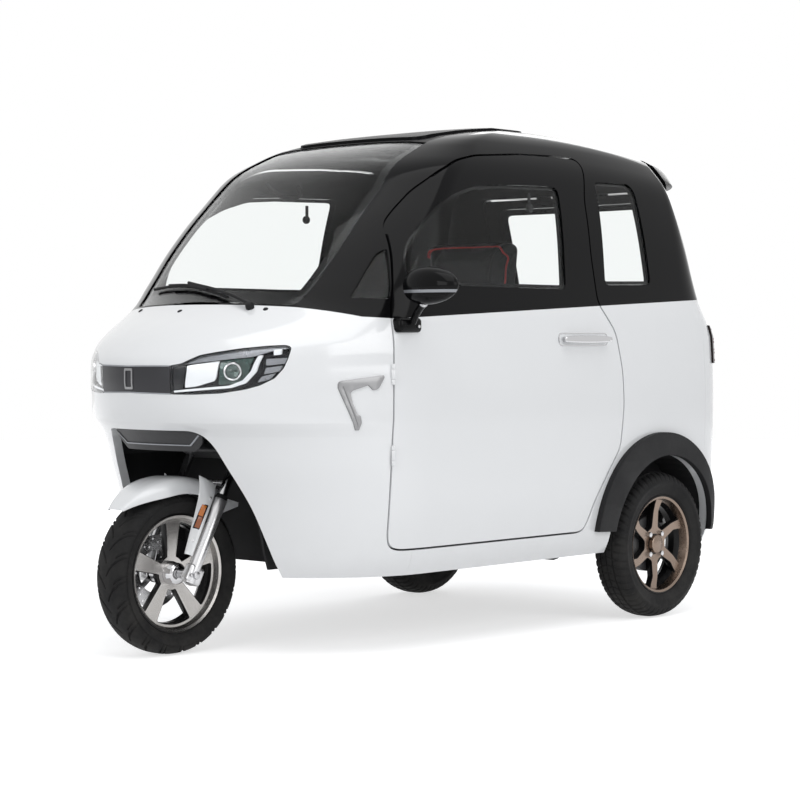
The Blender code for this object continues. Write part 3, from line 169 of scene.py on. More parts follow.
HATCH_GLASS = [(-0.345, 1.115), (0.345, 1.115), (0.325, 1.40), (0.300, 1.425), (-0.300, 1.425),
               (-0.325, 1.40)]
TAIL_LAMP = [(0.470, 0.860), (0.640, 0.860), (0.640, 0.985), (0.470, 1.000)]


# Plain tools

def use(item):
    bpy.ops.object.select_all(action="DESELECT")
    item.hide_set(False)
    item.select_set(True)
    bpy.context.view_layer.objects.active = item
    return item


def new_object(name, data):
    item = bpy.data.objects.new(name, data)
    bpy.context.scene.collection.objects.link(item)
    return item


def from_points(points, faces, edges=()):
    mesh = bpy.data.meshes.new("mesh")
    mesh.from_pydata([tuple(point) for point in points], edges, faces)
    return new_object("mesh", mesh)


def primitive(kind, **sizes):
    bpy.ops.object.select_all(action="DESELECT")
    getattr(bpy.ops.mesh, "primitive_" + kind + "_add")(**sizes)
    return bpy.context.active_object


def modified(item, kind, **settings):
    """A modifier with its settings, applied at once."""
    step = item.modifiers.new(kind, kind)
    for key, value in settings.items():
        setattr(step, key, value)
    use(item)
    bpy.ops.object.modifier_apply(modifier=step.name)
    return item


def bevelled(item, width, segments=3, limit=30):
    """Round the edges that are sharper than a limit in degrees."""
    return modified(item, "BEVEL", width=width, segments=segments, limit_method="ANGLE",
                    angle_limit=radians(limit))


def pushed(item, distance):
    """Move a surface outwards along its normals."""
    return modified(item, "DISPLACE", strength=distance, mid_level=0.0)


def finer(item, levels):
    return modified(item, "SUBSURF", levels=levels, render_levels=levels)


def placed(item, *steps):
    """Transform a mesh by one matrix or by a place to move it to."""
    for step in steps:
        item.data.transform(step if isinstance(step, Matrix) else Matrix.Translation(Vector(step)))
    return item


def facing(place, direction, axis="Z", up="Y"):
    """Place and turn that point an axis along a direction."""
    return Matrix.Translation(place) @ Vector(direction).to_track_quat(axis, up).to_matrix().to_4x4()


def copied(item):
    return new_object("copy", item.data.copy())


def boolean(item, other, operation):
    """Boolean of two solids; the second one is used up."""
    modified(item, "BOOLEAN", operation=operation, solver="MANIFOLD", object=other)
    bpy.data.objects.remove(other, do_unlink=True)
    return item


def cut(item, *others):
    for other in others:
        boolean(item, other, "DIFFERENCE")
    return item


def keep(item, *others):
    for other in others:
        boolean(item, other, "INTERSECT")
    return item


def recalculated(item, merge=0.00001):
    """Faces pointing out of a closed mesh, after its doubles are merged."""
    mesh = bmesh.new()
    mesh.from_mesh(item.data)
    if merge:
        bmesh.ops.remove_doubles(mesh, verts=mesh.verts, dist=merge)
    bmesh.ops.recalc_face_normals(mesh, faces=mesh.faces)
    mesh.to_mesh(item.data)
    mesh.free()
    return item


def mirrored(item):
    twin = placed(copied(item), Matrix.Scale(-1, 4, (1, 0, 0)))
    twin.data.flip_normals()
    return twin


def joined(*items):
    """Several finished meshes as one piece."""
    use(items[0])
    for item in items[1:]:
        item.select_set(True)
    bpy.ops.object.join()
    return items[0]


def settle(item, name, materials, angle=35, body="vehicle", replaces=()):
    """Name a piece, shade it, paint it, move it to its place and let it ride on its body."""
    item.name = item.data.name = name
    item.data.materials.clear()
    for material in materials if isinstance(materials, list) else [materials]:
        item.data.materials.append(material)
    if angle:
        use(item)
        bpy.ops.object.shade_smooth_by_angle(angle=radians(angle))
    placed(item, OFFSET)
    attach(item, body)
    if replaces:
        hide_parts(replaces)
    return item


def value_at(rows, height):
    """A curve of the body, straight between its rows."""
    return float(np.interp(height, [row[0] for row in rows], [row[1] for row in rows]))


def curve_through(rows):
    """A smooth curve through rows of height and value that never swings past them."""
    x = np.array([row[0] for row in rows], float)
    y = np.array([row[1] for row in rows], float)
    rise = np.diff(y) / np.diff(x)
    slope = np.zeros(len(x))
    slope[0], slope[-1] = rise[0], rise[-1]
    for i in range(1, len(x) - 1):
        if rise[i - 1] * rise[i] > 0:
            slope[i] = 2 / (1 / rise[i - 1] + 1 / rise[i])

    def value(height):
        height = min(max(height, x[0]), x[-1])
        i = min(int(np.searchsorted(x, height, side="right")) - 1, len(x) - 2)
        step = x[i + 1] - x[i]
        t = (height - x[i]) / step
        return float((1 + 2 * t) * (1 - t) ** 2 * y[i] + t * (1 - t) ** 2 * step * slope[i]
                     + t * t * (3 - 2 * t) * y[i + 1] + t * t * (t - 1) * step * slope[i + 1])
    return value


side_at, nose_at = curve_through(SIDE), curve_through(NOSE)
nose_start_at, nose_power_at = curve_through(NOSE_START), curve_through(NOSE_POWER)
tail_at, tail_power_at = curve_through(TAIL), curve_through(TAIL_POWER)
spoiler_tail_at = curve_through(SPOILER_TAIL)


def grow(outline, distance):
    """A closed outline, moved outwards by a distance (inwards when it is negative)."""
    count = len(outline)
    area = sum(outline[i][0] * outline[(i + 1) % count][1] - outline[(i + 1) % count][0] * outline[i][1]
               for i in range(count))
    turn = 1 if area > 0 else -1
    moved = []
    for i in range(count):
        before, here, after = (Vector(outline[k % count]) for k in (i - 1, i, i + 1))
        into = (here - before).normalized()
        out = (after - here).normalized()
        first = Vector((into.y, -into.x)) * turn
        second = Vector((out.y, -out.x)) * turn
        mitre = (first + second).normalized()
        moved.append(tuple(here + mitre * distance / max(0.5, mitre.dot(first))))
    return moved


def rounded(outline, radius=0.02, steps=5):
    """A closed outline with each corner drawn as a short curve."""
    count = len(outline)
    result = []
    for i in range(count):
        before, here, after = (Vector(outline[k % count]) for k in (i - 1, i, i + 1))
        back, on = (before - here), (after - here)
        start = here + back.normalized() * min(radius, back.length * 0.48)
        end = here + on.normalized() * min(radius, on.length * 0.48)
        for k in range(steps + 1):
            t = k / steps
            result.append(tuple(start * (1 - t) ** 2 + here * 2 * t * (1 - t) + end * t * t))
    return result


def both_sides(half):
    return half + [(-x, z) for x, z in reversed(half[1:-1])]


def flipped(outline):
    return [(-x, z) for x, z in reversed(outline)]


def circle(centre, radius, start=0.0, end=2 * pi, steps=96):
    """A circle, or an arc between two angles."""
    full = abs(end - start - 2 * pi) < 1e-6
    count = steps if full else steps + 1
    return [(centre[0] + radius * cos(start + (end - start) * i / steps),
             centre[1] + radius * sin(start + (end - start) * i / steps)) for i in range(count)]


def slab(outline, view, low, high):
    """A flat outline, extruded between two coordinates across the view: side, front or plan."""
    axes, across = {"side": (((0, 0, 1), (1, 0, 0), (0, 1, 0)), (high - low, 0, 0)),
                    "front": (((1, 0, 0), (0, 0, -1), (0, 1, 0)), (0, high - low, 0)),
                    "plan": (((1, 0, 0), (0, 1, 0), (0, 0, 1)), (0, 0, high - low))}[view]
    start = -low if view == "front" else low
    mesh = bmesh.new()
    mesh.faces.new([mesh.verts.new(Matrix(axes) @ Vector((a, b, start))) for a, b in outline])
    end = bmesh.ops.extrude_face_region(mesh, geom=list(mesh.faces))["geom"]
    bmesh.ops.translate(mesh, verts=[v for v in end if isinstance(v, bmesh.types.BMVert)], vec=across)
    bmesh.ops.recalc_face_normals(mesh, faces=mesh.faces)
    bmesh.ops.triangulate(mesh, faces=[face for face in mesh.faces if len(face.verts) > 4])
    data = bpy.data.meshes.new("slab")
    mesh.to_mesh(data)
    mesh.free()
    return new_object("slab", data)


def block(size, centre=ORIGIN, bevel=0.0, segments=3):
    item = placed(primitive("cube", size=1), Matrix.Diagonal((*size, 1)))
    if bevel:
        bevelled(item, bevel, segments)
    return placed(item, centre)


def rod(start, end, radius, sides=32, bevel=0.0):
    start, end = Vector(start), Vector(end)
    item = primitive("cylinder", vertices=sides, radius=radius, depth=(end - start).length)
    if bevel:
        bevelled(item, bevel, 2)
    return placed(item, facing((start + end) / 2, end - start))


def turned(profile, centre=ORIGIN, steps=96, closed=True, sign=1):
    """A profile (across, radius), turned about an axle along X."""
    count = len(profile)
    edges = [(i, (i + 1) % count) for i in range(count if closed else count - 1)]
    item = from_points([(sign * x, 0, r) for x, r in profile], [], edges)
    modified(item, "SCREW", axis="X", steps=steps, render_steps=steps, use_merge_vertices=True,
             merge_threshold=0.00005)
    return recalculated(placed(item, centre))


def tube(points, radius, resolution=4, loop=False):
    """A round tube through points, with closed ends or as a loop."""
    curve = bpy.data.curves.new("tube", "CURVE")
    curve.dimensions = "3D"
    curve.bevel_depth = radius
    curve.bevel_resolution = resolution
    curve.resolution_u = 3 if loop else 8
    curve.use_fill_caps = not loop
    spline = curve.splines.new("BEZIER")
    spline.use_cyclic_u = loop
    spline.bezier_points.add(len(points) - 1)
    for point, place in zip(spline.bezier_points, points):
        point.co = place
        point.handle_left_type = point.handle_right_type = "AUTO"
    use(new_object("tube", curve))
    bpy.ops.object.convert(target="MESH")
    return recalculated(bpy.context.active_object)


def rounded_rod(start, end, rows):
    """A round bar whose radius changes along it: rows of share along the bar and radius."""
    start, end = Vector(start), Vector(end)
    length = (end - start).length
    profile = [(0.0, 0.0)] + [(share * length, radius) for share, radius in rows] + [(length, 0.0)]
    return recalculated(placed(turned(profile, ORIGIN, 48, False), facing(start, end - start, "X", "Z")))


def sheet(points, across, thickness, edge):
    """A thin plate through rows of points, with rounded edges."""
    faces = [(a, a + 1, a + 1 + across, a + across) for a in range(len(points) - across)
             if a % across < across - 1]
    plate = modified(recalculated(from_points(points, faces)), "SOLIDIFY", thickness=thickness, offset=0)
    return bevelled(plate, edge, 2, 60)


# Body surface

def plan_ring(height, tail_curve):
    """Plan outline of the body at a height, from the nose round the left side and back."""
    width, nose, tail = side_at(height), nose_at(height), tail_curve(height)
    start, power, corner = nose_start_at(height), nose_power_at(height), tail_power_at(height)
    half = []
    for i in range(NOSE_COLUMNS + 1):
        across, ahead = sin(pi / 2 * i / NOSE_COLUMNS), max(0.0, cos(pi / 2 * i / NOSE_COLUMNS))
        reach = (across ** power + ahead ** power) ** (-1 / power)
        half.append((width * across * reach, start - (start - nose) * ahead * reach))
    for i in range(1, SIDE_COLUMNS):
        half.append((width, start + (TAIL_START - start) * i / SIDE_COLUMNS))
    for i in range(TAIL_COLUMNS + 1):
        back, across = sin(pi / 2 * i / TAIL_COLUMNS), max(0.0, cos(pi / 2 * i / TAIL_COLUMNS))
        reach = (across ** corner + back ** corner) ** (-1 / corner)
        half.append((width * across * reach, TAIL_START + (tail - TAIL_START) * back * reach))
    half[0], half[-1] = (0.0, half[0][1]), (0.0, half[-1][1])
    return both_sides(half)


def fallen(x, y, z):
    """The roof's fall towards the back."""
    share = max(0.0, (z - ROOF_FALL_START_Z) / (ROOF_TOP_Z - ROOF_FALL_START_Z))
    back = min(1.0, max(0.0, (y - ROOF_FALL_FROM) / (TAIL_Y - 0.08 - ROOF_FALL_FROM)))
    return (x, y, z - ROOF_FALL * share * back * back)


def lofted(tail_curve=tail_at, closed=False):
    """The body's outer surface, lofted through its plan outlines and closed over the roof."""
    low, high = SIDE[0][0], ROOF_TOP_Z
    heights = [low + (high - low) * (i / LEVELS) for i in range(LEVELS)]
    heights = sorted(set(heights + EXTRA_LEVELS + [high]))
    rings = [[fallen(x, y, z) for x, y in plan_ring(z, tail_curve)] for z in heights]
    top = plan_ring(high, tail_curve)
    middle = (top[0][1] + top[len(top) // 2][1]) / 2
    for share in CAP_RINGS:
        rings.append([fallen(x * share, middle + (y - middle) * share, high) for x, y in top])
    size = len(top)
    faces = []
    for level in range(len(rings) - 1):
        for i in range(size):
            a, b = level * size + i, level * size + (i + 1) % size
            faces.append((a, b, b + size, a + size))
    last = (len(rings) - 1) * size
    faces += [(last + i, last + (i + 1) % size, last + size) for i in range(size)]
    if closed:
        faces.append(tuple(range(size)))
    points = [point for ring in rings for point in ring] + [fallen(0.0, middle, high)]
    return recalculated(from_points(points, faces))


def skin(sink, thickness):
    """The body's outer surface, sunk and thickened inwards. Its inner side has the second material."""
    item = lofted()
    item.data.materials.append(None)
    item.data.materials.append(None)
    if sink:
        pushed(item, -sink)
    return modified(item, "SOLIDIFY", thickness=thickness, offset=-1, use_even_offset=True,
                    material_offset=1, material_offset_rim=0)


def belt_line(first, last, gap):
    """The belt line between two stations along Y, lifted by a gap."""
    inner = [(y, z) for y, z in BELT if first < y < last]
    ends = [(y, value_at(BELT, y)) for y in (first, last)]
    return [(y, z + gap) for y, z in ends[:1] + inner + ends[1:]]


def under_belt(first, last):
    """Side view region below the belt line between two stations along Y."""
    return [(first, SILL_Z)] + belt_line(first, last, -SEAM / 2) + [(last, SILL_Z)]


def over_belt(first, last):
    """Side view region above the belt line between two stations along Y."""
    return belt_line(first, last, SEAM / 2) + [(last, OVER_ROOF_Z), (first, OVER_ROOF_Z)]


def over_tail(margin):
    """Side view region of the roof's rear edge, which overhangs the hatch."""
    return grow([(SPOILER_Y, SPOILER_LOW_Z), (BEHIND_Y, SPOILER_LOW_Z), (BEHIND_Y, OVER_ROOF_Z),
                 (SPOILER_Y, OVER_ROOF_Z)], margin)


def panel(source, region, view, low, high):
    return keep(copied(source), slab(region, view, low, high))


# Materials

FLOAT, VECTOR = "NodeSocketFloat", "NodeSocketVector"


def add_node(tree, kind, settings=None, **values):
    """A node with its settings, and values or links for its inputs, by name or as i and a number."""
    node = tree.nodes.new(kind)
    for key, value in (settings or {}).items():
        setattr(node, key, value)
    for key, value in values.items():
        socket = node.inputs[int(key[1:])] if key[0] == "i" and key[1:].isdigit() else node.inputs[key]
        if isinstance(value, bpy.types.NodeSocket):
            tree.links.new(value, socket)
        else:
            socket.default_value = value
    return node


def maths(tree, operation, first, second=0.0, clamp=False):
    settings = {"operation": operation, "use_clamp": clamp}
    return add_node(tree, "ShaderNodeMath", settings, i0=first, i1=second).outputs[0]


def spread(tree, value, low, high, first=0.0, last=1.0, way="LINEAR"):
    """A value between low and high, spread between first and last."""
    ends = {"From Min": low, "From Max": high, "To Min": first, "To Max": last}
    return add_node(tree, "ShaderNodeMapRange", {"interpolation_type": way}, Value=value, **ends).outputs[0]


def blend(tree, share, first, second):
    """A mix of two colours, each a colour without its alpha or a socket."""
    ends = [value if isinstance(value, bpy.types.NodeSocket) else (*value, 1.0) for value in (first, second)]
    return add_node(tree, "ShaderNodeMix", {"data_type": "RGBA"}, Factor=share, i6=ends[0],
                    i7=ends[1]).outputs[2]


def bump_of(tree, height, strength, distance, **below):
    return add_node(tree, "ShaderNodeBump", Height=height, Strength=strength, Distance=distance,
                    **below).outputs[0]


def effect(name, inputs, outputs):
    """An empty shader group with its named sockets: its nodes, its inputs and its output node."""
    group = bpy.data.node_groups.new(name, "ShaderNodeTree")
    for label, default in inputs.items():
        kind = VECTOR if default is None else FLOAT
        socket = group.interface.new_socket(label, in_out="INPUT", socket_type=kind)
        if default is not None:
            socket.default_value = default
    for label in outputs:
        group.interface.new_socket(label, in_out="OUTPUT", socket_type=FLOAT)
    return group, group.nodes.new("NodeGroupInput").outputs, group.nodes.new("NodeGroupOutput").inputs


def make_uneven_gloss():
    """Gloss that drifts a little over a surface, as wiped and weathered paint or plastic does."""
    group, given, result = effect(
        "uneven_gloss", {"Vector": None, "Scale": 6.0, "Low": 0.3, "High": 0.5}, ["Roughness"])
    broad = add_node(group, "ShaderNodeTexNoise", Vector=given["Vector"], Scale=given["Scale"],
                     Detail=5.0, Roughness=0.62)
    drift = spread(group, broad.outputs[0], 0.3, 0.7, given["Low"], given["High"])
    group.links.new(drift, result["Roughness"])
    return group


def make_fine_grain():
    """Small pitted grain of moulded plastic, rubber or cast metal."""
    group, given, result = effect("fine_grain", {"Vector": None, "Scale": 900.0}, ["Height"])
    cells = add_node(group, "ShaderNodeTexVoronoi", {"feature": "SMOOTH_F1"}, Vector=given["Vector"],
                     Scale=given["Scale"])
    fine = add_node(group, "ShaderNodeTexNoise", Vector=given["Vector"],
                    Scale=maths(group, "MULTIPLY", given["Scale"], 0.5), Detail=4.0)
    pits = maths(group, "MULTIPLY", fine.outputs[0], 0.6)
    group.links.new(maths(group, "ADD", cells.outputs["Distance"], pits), result["Height"])
    return group


def make_leather_grain():
    """Creased grain of leatherette, with a mask of its creases for painted shade."""
    group, given, result = effect("leather_grain", {"Vector": None, "Scale": 320.0}, ["Height", "CreaseShade"])
    bend = add_node(group, "ShaderNodeTexNoise", Vector=given["Vector"],
                    Scale=maths(group, "MULTIPLY", given["Scale"], 0.3), Detail=3.0)
    moved = add_node(group, "ShaderNodeVectorMath", {"operation": "MULTIPLY_ADD"},
                     i0=bend.outputs["Color"], i1=(0.004, 0.004, 0.004), i2=given["Vector"])
    cells = add_node(group, "ShaderNodeTexVoronoi", {"feature": "DISTANCE_TO_EDGE"},
                     Vector=moved.outputs[0], Scale=given["Scale"])
    edge = maths(group, "MULTIPLY", cells.outputs["Distance"], 3.0, True)
    group.links.new(edge, result["Height"])
    group.links.new(maths(group, "SUBTRACT", 1.0, edge), result["CreaseShade"])
    return group


def make_road_dust():
    """Dust and spray that the road leaves low down, thin and broken up."""
    group, given, result = effect("road_dust", {"Vector": None, "Top": 0.4, "Amount": 0.3}, ["Mask"])
    split = add_node(group, "ShaderNodeSeparateXYZ", Vector=given["Vector"])
    low = maths(group, "SUBTRACT", 1.0, maths(group, "DIVIDE", split.outputs["Z"], given["Top"]), True)
    cloud = add_node(group, "ShaderNodeTexNoise", Vector=given["Vector"], Scale=9.0, Detail=9.0,
                     Roughness=0.7)
    broken = maths(group, "MULTIPLY", low, spread(group, cloud.outputs[0], 0.38, 0.72))
    group.links.new(maths(group, "MULTIPLY", broken, given["Amount"], True), result["Mask"])
    return group


def make_turning_marks():
    """Fine rings that a lathe leaves about an axle along X."""
    group, given, result = effect("turning_marks", {"Vector": None, "Pitch": 1400.0}, ["Height"])
    split = add_node(group, "ShaderNodeSeparateXYZ", Vector=given["Vector"])
    squares = maths(group, "ADD", *(maths(group, "POWER", split.outputs[axis], 2.0) for axis in "YZ"))
    radius = maths(group, "MULTIPLY", maths(group, "SQRT", squares), given["Pitch"])
    rings = add_node(group, "ShaderNodeTexNoise", {"noise_dimensions": "1D"}, W=radius, Detail=3.0)
    group.links.new(rings.outputs[0], result["Height"])
    return group


GLOSS, GRAIN, LEATHER = make_uneven_gloss(), make_fine_grain(), make_leather_grain()
DUST, TURNING = make_road_dust(), make_turning_marks()


def group_node(tree, group, place, **values):
    return add_node(tree, "ShaderNodeGroup", {"node_tree": group}, Vector=place, **values)


def plain_material(name, **values):
    """A material with plain values in its shader, and the place on the object for its textures."""
    material = bpy.data.materials.new(name)
    material.use_nodes = True
    tree = material.node_tree
    shader = tree.nodes["Principled BSDF"]
    for key, value in values.items():
        shader.inputs[key].default_value = value
    return material, tree, shader.inputs, add_node(tree, "ShaderNodeTexCoord").outputs["Object"]


def finish_of(name, colour, gloss, metallic=0.0, grain=0.0, grain_scale=900.0, dust=0.0, dust_top=0.45,
              coat=0.0, mottle=0.0, centre=None, turning=0.0, specular=0.5, painted_glow=0.0):
    """A finish: colour with dust and an optional painted glow, drifting gloss and a grain or turning marks in its
    bump.
    """
    material, tree, shader, place = plain_material(name, **{
        "Metallic": metallic, "Specular IOR Level": specular, "Coat Weight": coat, "Coat Roughness": 0.04})
    # A faint glow painted into the finish, standing in for the light the surface returns; no lamp is lit
    if painted_glow:
        shader["Emission Color"].default_value = (0.9, 0.93, 0.95, 1.0)
        shader["Emission Strength"].default_value = painted_glow
    rough = group_node(tree, GLOSS, place, Scale=6.0, Low=gloss[0], High=gloss[1])
    tree.links.new(rough.outputs[0], shader["Roughness"])
    shade = add_node(tree, "ShaderNodeTexNoise", Vector=place, Scale=14.0, Detail=6.0)
    paint = blend(tree, shade.outputs[0], colour, [value * (1 - mottle) for value in colour])
    if dust:
        low = group_node(tree, DUST, place, Top=dust_top, Amount=dust)
        paint = blend(tree, low.outputs[0], paint, (0.33, 0.31, 0.28))
    tree.links.new(paint, shader["Base Color"])
    if grain:
        pits = group_node(tree, GRAIN, place, Scale=grain_scale)
        tree.links.new(bump_of(tree, pits.outputs[0], grain, 0.0004), shader["Normal"])
    if turning:
        moved = add_node(tree, "ShaderNodeMapping", Vector=place, Location=[-value for value in centre])
        rings = group_node(tree, TURNING, moved.outputs[0])
        tree.links.new(bump_of(tree, rings.outputs[0], turning, 0.0003), shader["Normal"])
    return material


def glass_of(name, colour, ior):
    """Clear or tinted glass with faint wipe marks in its gloss."""
    material, tree, shader, place = plain_material(name, **{
        "Base Color": (*colour, 1.0), "Transmission Weight": 1.0, "IOR": ior})
    rough = group_node(tree, GLOSS, place, Scale=3.0, Low=0.0, High=0.02)
    tree.links.new(rough.outputs[0], shader["Roughness"])
    return material


def leather_of(name, colour):
    """Leatherette with painted shade in its creases."""
    material, tree, shader, place = plain_material(name, **{"Specular IOR Level": 0.25})
    grain = group_node(tree, LEATHER, place).outputs
    rough = group_node(tree, GLOSS, place, Scale=22.0, Low=0.42, High=0.6)
    tree.links.new(rough.outputs[0], shader["Roughness"])
    # The creases are painted darker, as shade in the grain
    paint = blend(tree, grain["CreaseShade"], colour, [value * 0.6 for value in colour])
    tree.links.new(paint, shader["Base Color"])
    tree.links.new(bump_of(tree, grain["Height"], 0.35, 0.0005), shader["Normal"])
    return material


def grey(value, blue=0.0):
    """A grey that may lean a little to blue."""
    return value, value, value + blue


WHITE = finish_of("white_paint", (0.80, 0.81, 0.82), (0.10, 0.20), coat=0.5, mottle=0.01, dust=0.12,
                  grain=0.015, grain_scale=420.0)
LINING = finish_of("dark_lining", grey(0.022, 0.002), (0.55, 0.75), grain=0.3, grain_scale=700.0,
                   mottle=0.15, specular=0.18)
GLOSS_BLACK = finish_of("black_paint", grey(0.004, 0.0005), (0.05, 0.12), mottle=0.1, specular=0.10,
                        grain=0.012, grain_scale=420.0)
ROOF_BLACK = finish_of("roof_black_paint", grey(0.005, 0.0005), (0.24, 0.34), mottle=0.1, specular=0.04)
FRIT = finish_of("glass_border", grey(0.004, 0.0005), (0.10, 0.20), mottle=0.1, specular=0.10)
MATT_BLACK = finish_of("matt_black_plastic", grey(0.012, 0.001), (0.50, 0.68), grain=0.35,
                       grain_scale=1100.0, dust=0.04, mottle=0.12, specular=0.20)
BAY_BLACK = finish_of("bay_black_plastic", grey(0.030, 0.002), (0.38, 0.55), grain=0.2,
                      grain_scale=1100.0, dust=0.05, mottle=0.12, specular=0.35)
DARK_STEEL = finish_of("painted_steel", grey(0.03, 0.003), (0.35, 0.5), metallic=0.2, grain=0.1,
                       dust=0.35, mottle=0.2)
RUBBER = finish_of("tyre_rubber", grey(0.013, 0.0005), (0.62, 0.80), grain=0.45, grain_scale=1500.0,
                   dust=0.10, dust_top=0.55, mottle=0.2, specular=0.16)
SOFT_RUBBER = finish_of("grip_rubber", grey(0.012, 0.001), (0.55, 0.7), grain=0.4, mottle=0.1,
                        specular=0.2)
SILVER = finish_of("silver_paint", grey(0.62, 0.01), (0.24, 0.36), metallic=0.85, grain=0.05, dust=0.1,
                   mottle=0.06)
STEEL = finish_of("zinc_steel", grey(0.55, 0.01), (0.22, 0.40), metallic=1.0, grain=0.1, mottle=0.2)
DISC_STEEL = finish_of("disc_steel", grey(0.50, 0.01), (0.22, 0.34), metallic=1.0, mottle=0.1,
                       centre=FRONT_AXLE + OFFSET, turning=0.35)
CHROME = finish_of("chrome", grey(0.56, 0.01), (0.04, 0.10), metallic=1.0, mottle=0.04)
FRONT_MACHINED = finish_of("front_machined_alloy", (0.46, 0.445, 0.43), (0.20, 0.30), metallic=1.0,
                           mottle=0.05, centre=FRONT_AXLE + OFFSET, turning=0.30)
REAR_MACHINED = finish_of("rear_machined_alloy", (0.24, 0.185, 0.15), (0.22, 0.32), metallic=1.0,
                          mottle=0.05, centre=REAR_AXLE + OFFSET, turning=0.25)
WHEEL_BLACK = finish_of("wheel_black_paint", grey(0.006, 0.0005), (0.18, 0.30), dust=0.06, dust_top=0.5,
                        mottle=0.1, specular=0.16)
BAND_GREY = finish_of("band_dark_grey", grey(0.036, 0.004), (0.26, 0.36), metallic=0.35, grain=0.08,
                      mottle=0.08, specular=0.3)
TRIM_SILVER = finish_of("trim_silver", grey(0.26, 0.005), (0.26, 0.36), metallic=0.8, grain=0.06,
                        mottle=0.05)
LAMP_GREY = finish_of("lamp_grey", (0.26, 0.27, 0.29), (0.25, 0.35), metallic=0.5, mottle=0.05)
LAMP_DARK = finish_of("lamp_dark", (0.008, 0.009, 0.012), (0.15, 0.3), mottle=0.1, specular=0.2)
LAMP_BLACK = finish_of("smoked_lens", (0.010, 0.004, 0.004), (0.05, 0.12), mottle=0.1, specular=0.25)
# Lamp white with a faint painted glow, which stands in for the light the reflector returns
LAMP_WHITE = finish_of("lamp_reflector", (0.74, 0.76, 0.78), (0.12, 0.22), metallic=0.2, mottle=0.03,
                       painted_glow=0.06)
LAMP_GREEN = finish_of("lamp_coated_glass", (0.02, 0.065, 0.055), (0.04, 0.1), metallic=0.3, coat=0.8,
                       mottle=0.5)
AMBER = finish_of("amber_reflector", (0.75, 0.20, 0.01), (0.10, 0.18), coat=0.6, mottle=0.35)
# The same amber painted darker, as shade on the reflector's lower half
AMBER_SHADED = finish_of("amber_painted_shade", (0.36, 0.085, 0.01), (0.10, 0.18), coat=0.6, mottle=0.35)
RED_LENS = finish_of("red_lens", (0.42, 0.012, 0.012), (0.06, 0.12), coat=0.8, mottle=0.2)
SCREEN_BLACK = finish_of("screen_black", (0.006, 0.007, 0.009), (0.03, 0.07), mottle=0.2, specular=0.25)
PACK_GREY = finish_of("pack_grey", (0.05, 0.052, 0.055), (0.4, 0.6), grain=0.3, mottle=0.1)
PIPING_RED = finish_of("red_piping", (0.42, 0.018, 0.02), (0.4, 0.55), grain=0.3, grain_scale=1600.0,
                       mottle=0.1)
WINDOW = glass_of("window_glass", (0.96, 0.975, 0.97), 1.16)
CLEAR_LENS = glass_of("clear_lens", (0.98, 0.985, 0.99), 1.22)
SMALL_LENS = glass_of("projector_lens", (0.90, 0.97, 0.95), 1.45)
SEAT_BLACK = leather_of("seat_leatherette", grey(0.022, 0.002))


# White and black body panels

class Surface:
    """The whole body surface, to shade cut panels as it is shaded."""

    def __init__(self, item):
        self.points = [vertex.co.copy() for vertex in item.data.vertices]
        self.normals = [vertex.normal.copy() for vertex in item.data.vertices]
        self.faces = [tuple(face.vertices) for face in item.data.polygons]
        self.tree = BVHTree.FromPolygons(self.points, self.faces)

    def normal(self, place):
        spot, flat, index, distance = self.tree.find_nearest(place)
        corners = self.faces[index]
        total = Vector(ORIGIN)
        for weight, i in zip(poly_3d_calc([self.points[i] for i in corners], spot), corners):
            total += self.normals[i] * weight
        return total.normalized() if total.length > 0.1 else flat


SHELL = skin(0.0, WALL)
PANE = skin(GLASS_SINK, GLASS_THICKNESS)
BORDER_SKIN = skin(GLASS_SINK + GLASS_THICKNESS + 0.0004, 0.0012)
whole_body = lofted()
BODY_SURFACE = Surface(whole_body)
bpy.data.objects.remove(whole_body, do_unlink=True)


SAME_FACING = 0.75


def even_shading(item):
    """Shade a cut panel as the whole surface is, so that its cut edges leave no marks in the gloss."""
    use(item)
    bpy.ops.object.shade_smooth()
    mesh = item.data
    found = {}
    normals = [None] * len(mesh.loops)
    for face in mesh.polygons:
        for loop_index in face.loop_indices:
            vertex = mesh.loops[loop_index].vertex_index
            if vertex not in found:
                found[vertex] = BODY_SURFACE.normal(mesh.vertices[vertex].co - OFFSET)
            even = found[vertex]
            facing_out = face.normal.dot(even)
            if abs(facing_out) > SAME_FACING:
                normals[loop_index] = even if facing_out > 0 else -even
            else:
                normals[loop_index] = face.normal.copy()
    mesh.normals_split_custom_set(normals)
    return item


def body_piece(item, node, materials, body="vehicle"):
    """A panel of the body that stands for its node."""
    return even_shading(settle(item, "shown_" + node, materials, 0, body, node))


def twins(item, bodies="vehicle"):
    """A left-hand piece and its right-hand twin, each with its side and its body."""
    left, right = bodies if isinstance(bodies, tuple) else (bodies, bodies)
    return (item, "left", left), (mirrored(item), "right", right)


def body_pair(item, node, materials, bodies="vehicle"):
    for piece, side, body in twins(item, bodies):
        body_piece(piece, node + "_" + side, materials, body)


def pair(item, name, material, angle, bodies="vehicle", node=""):
    for piece, side, body in twins(item, bodies):
        settle(piece, "shown_{}_{}".format(name, side), material, angle, body,
               node and node + "_" + side)


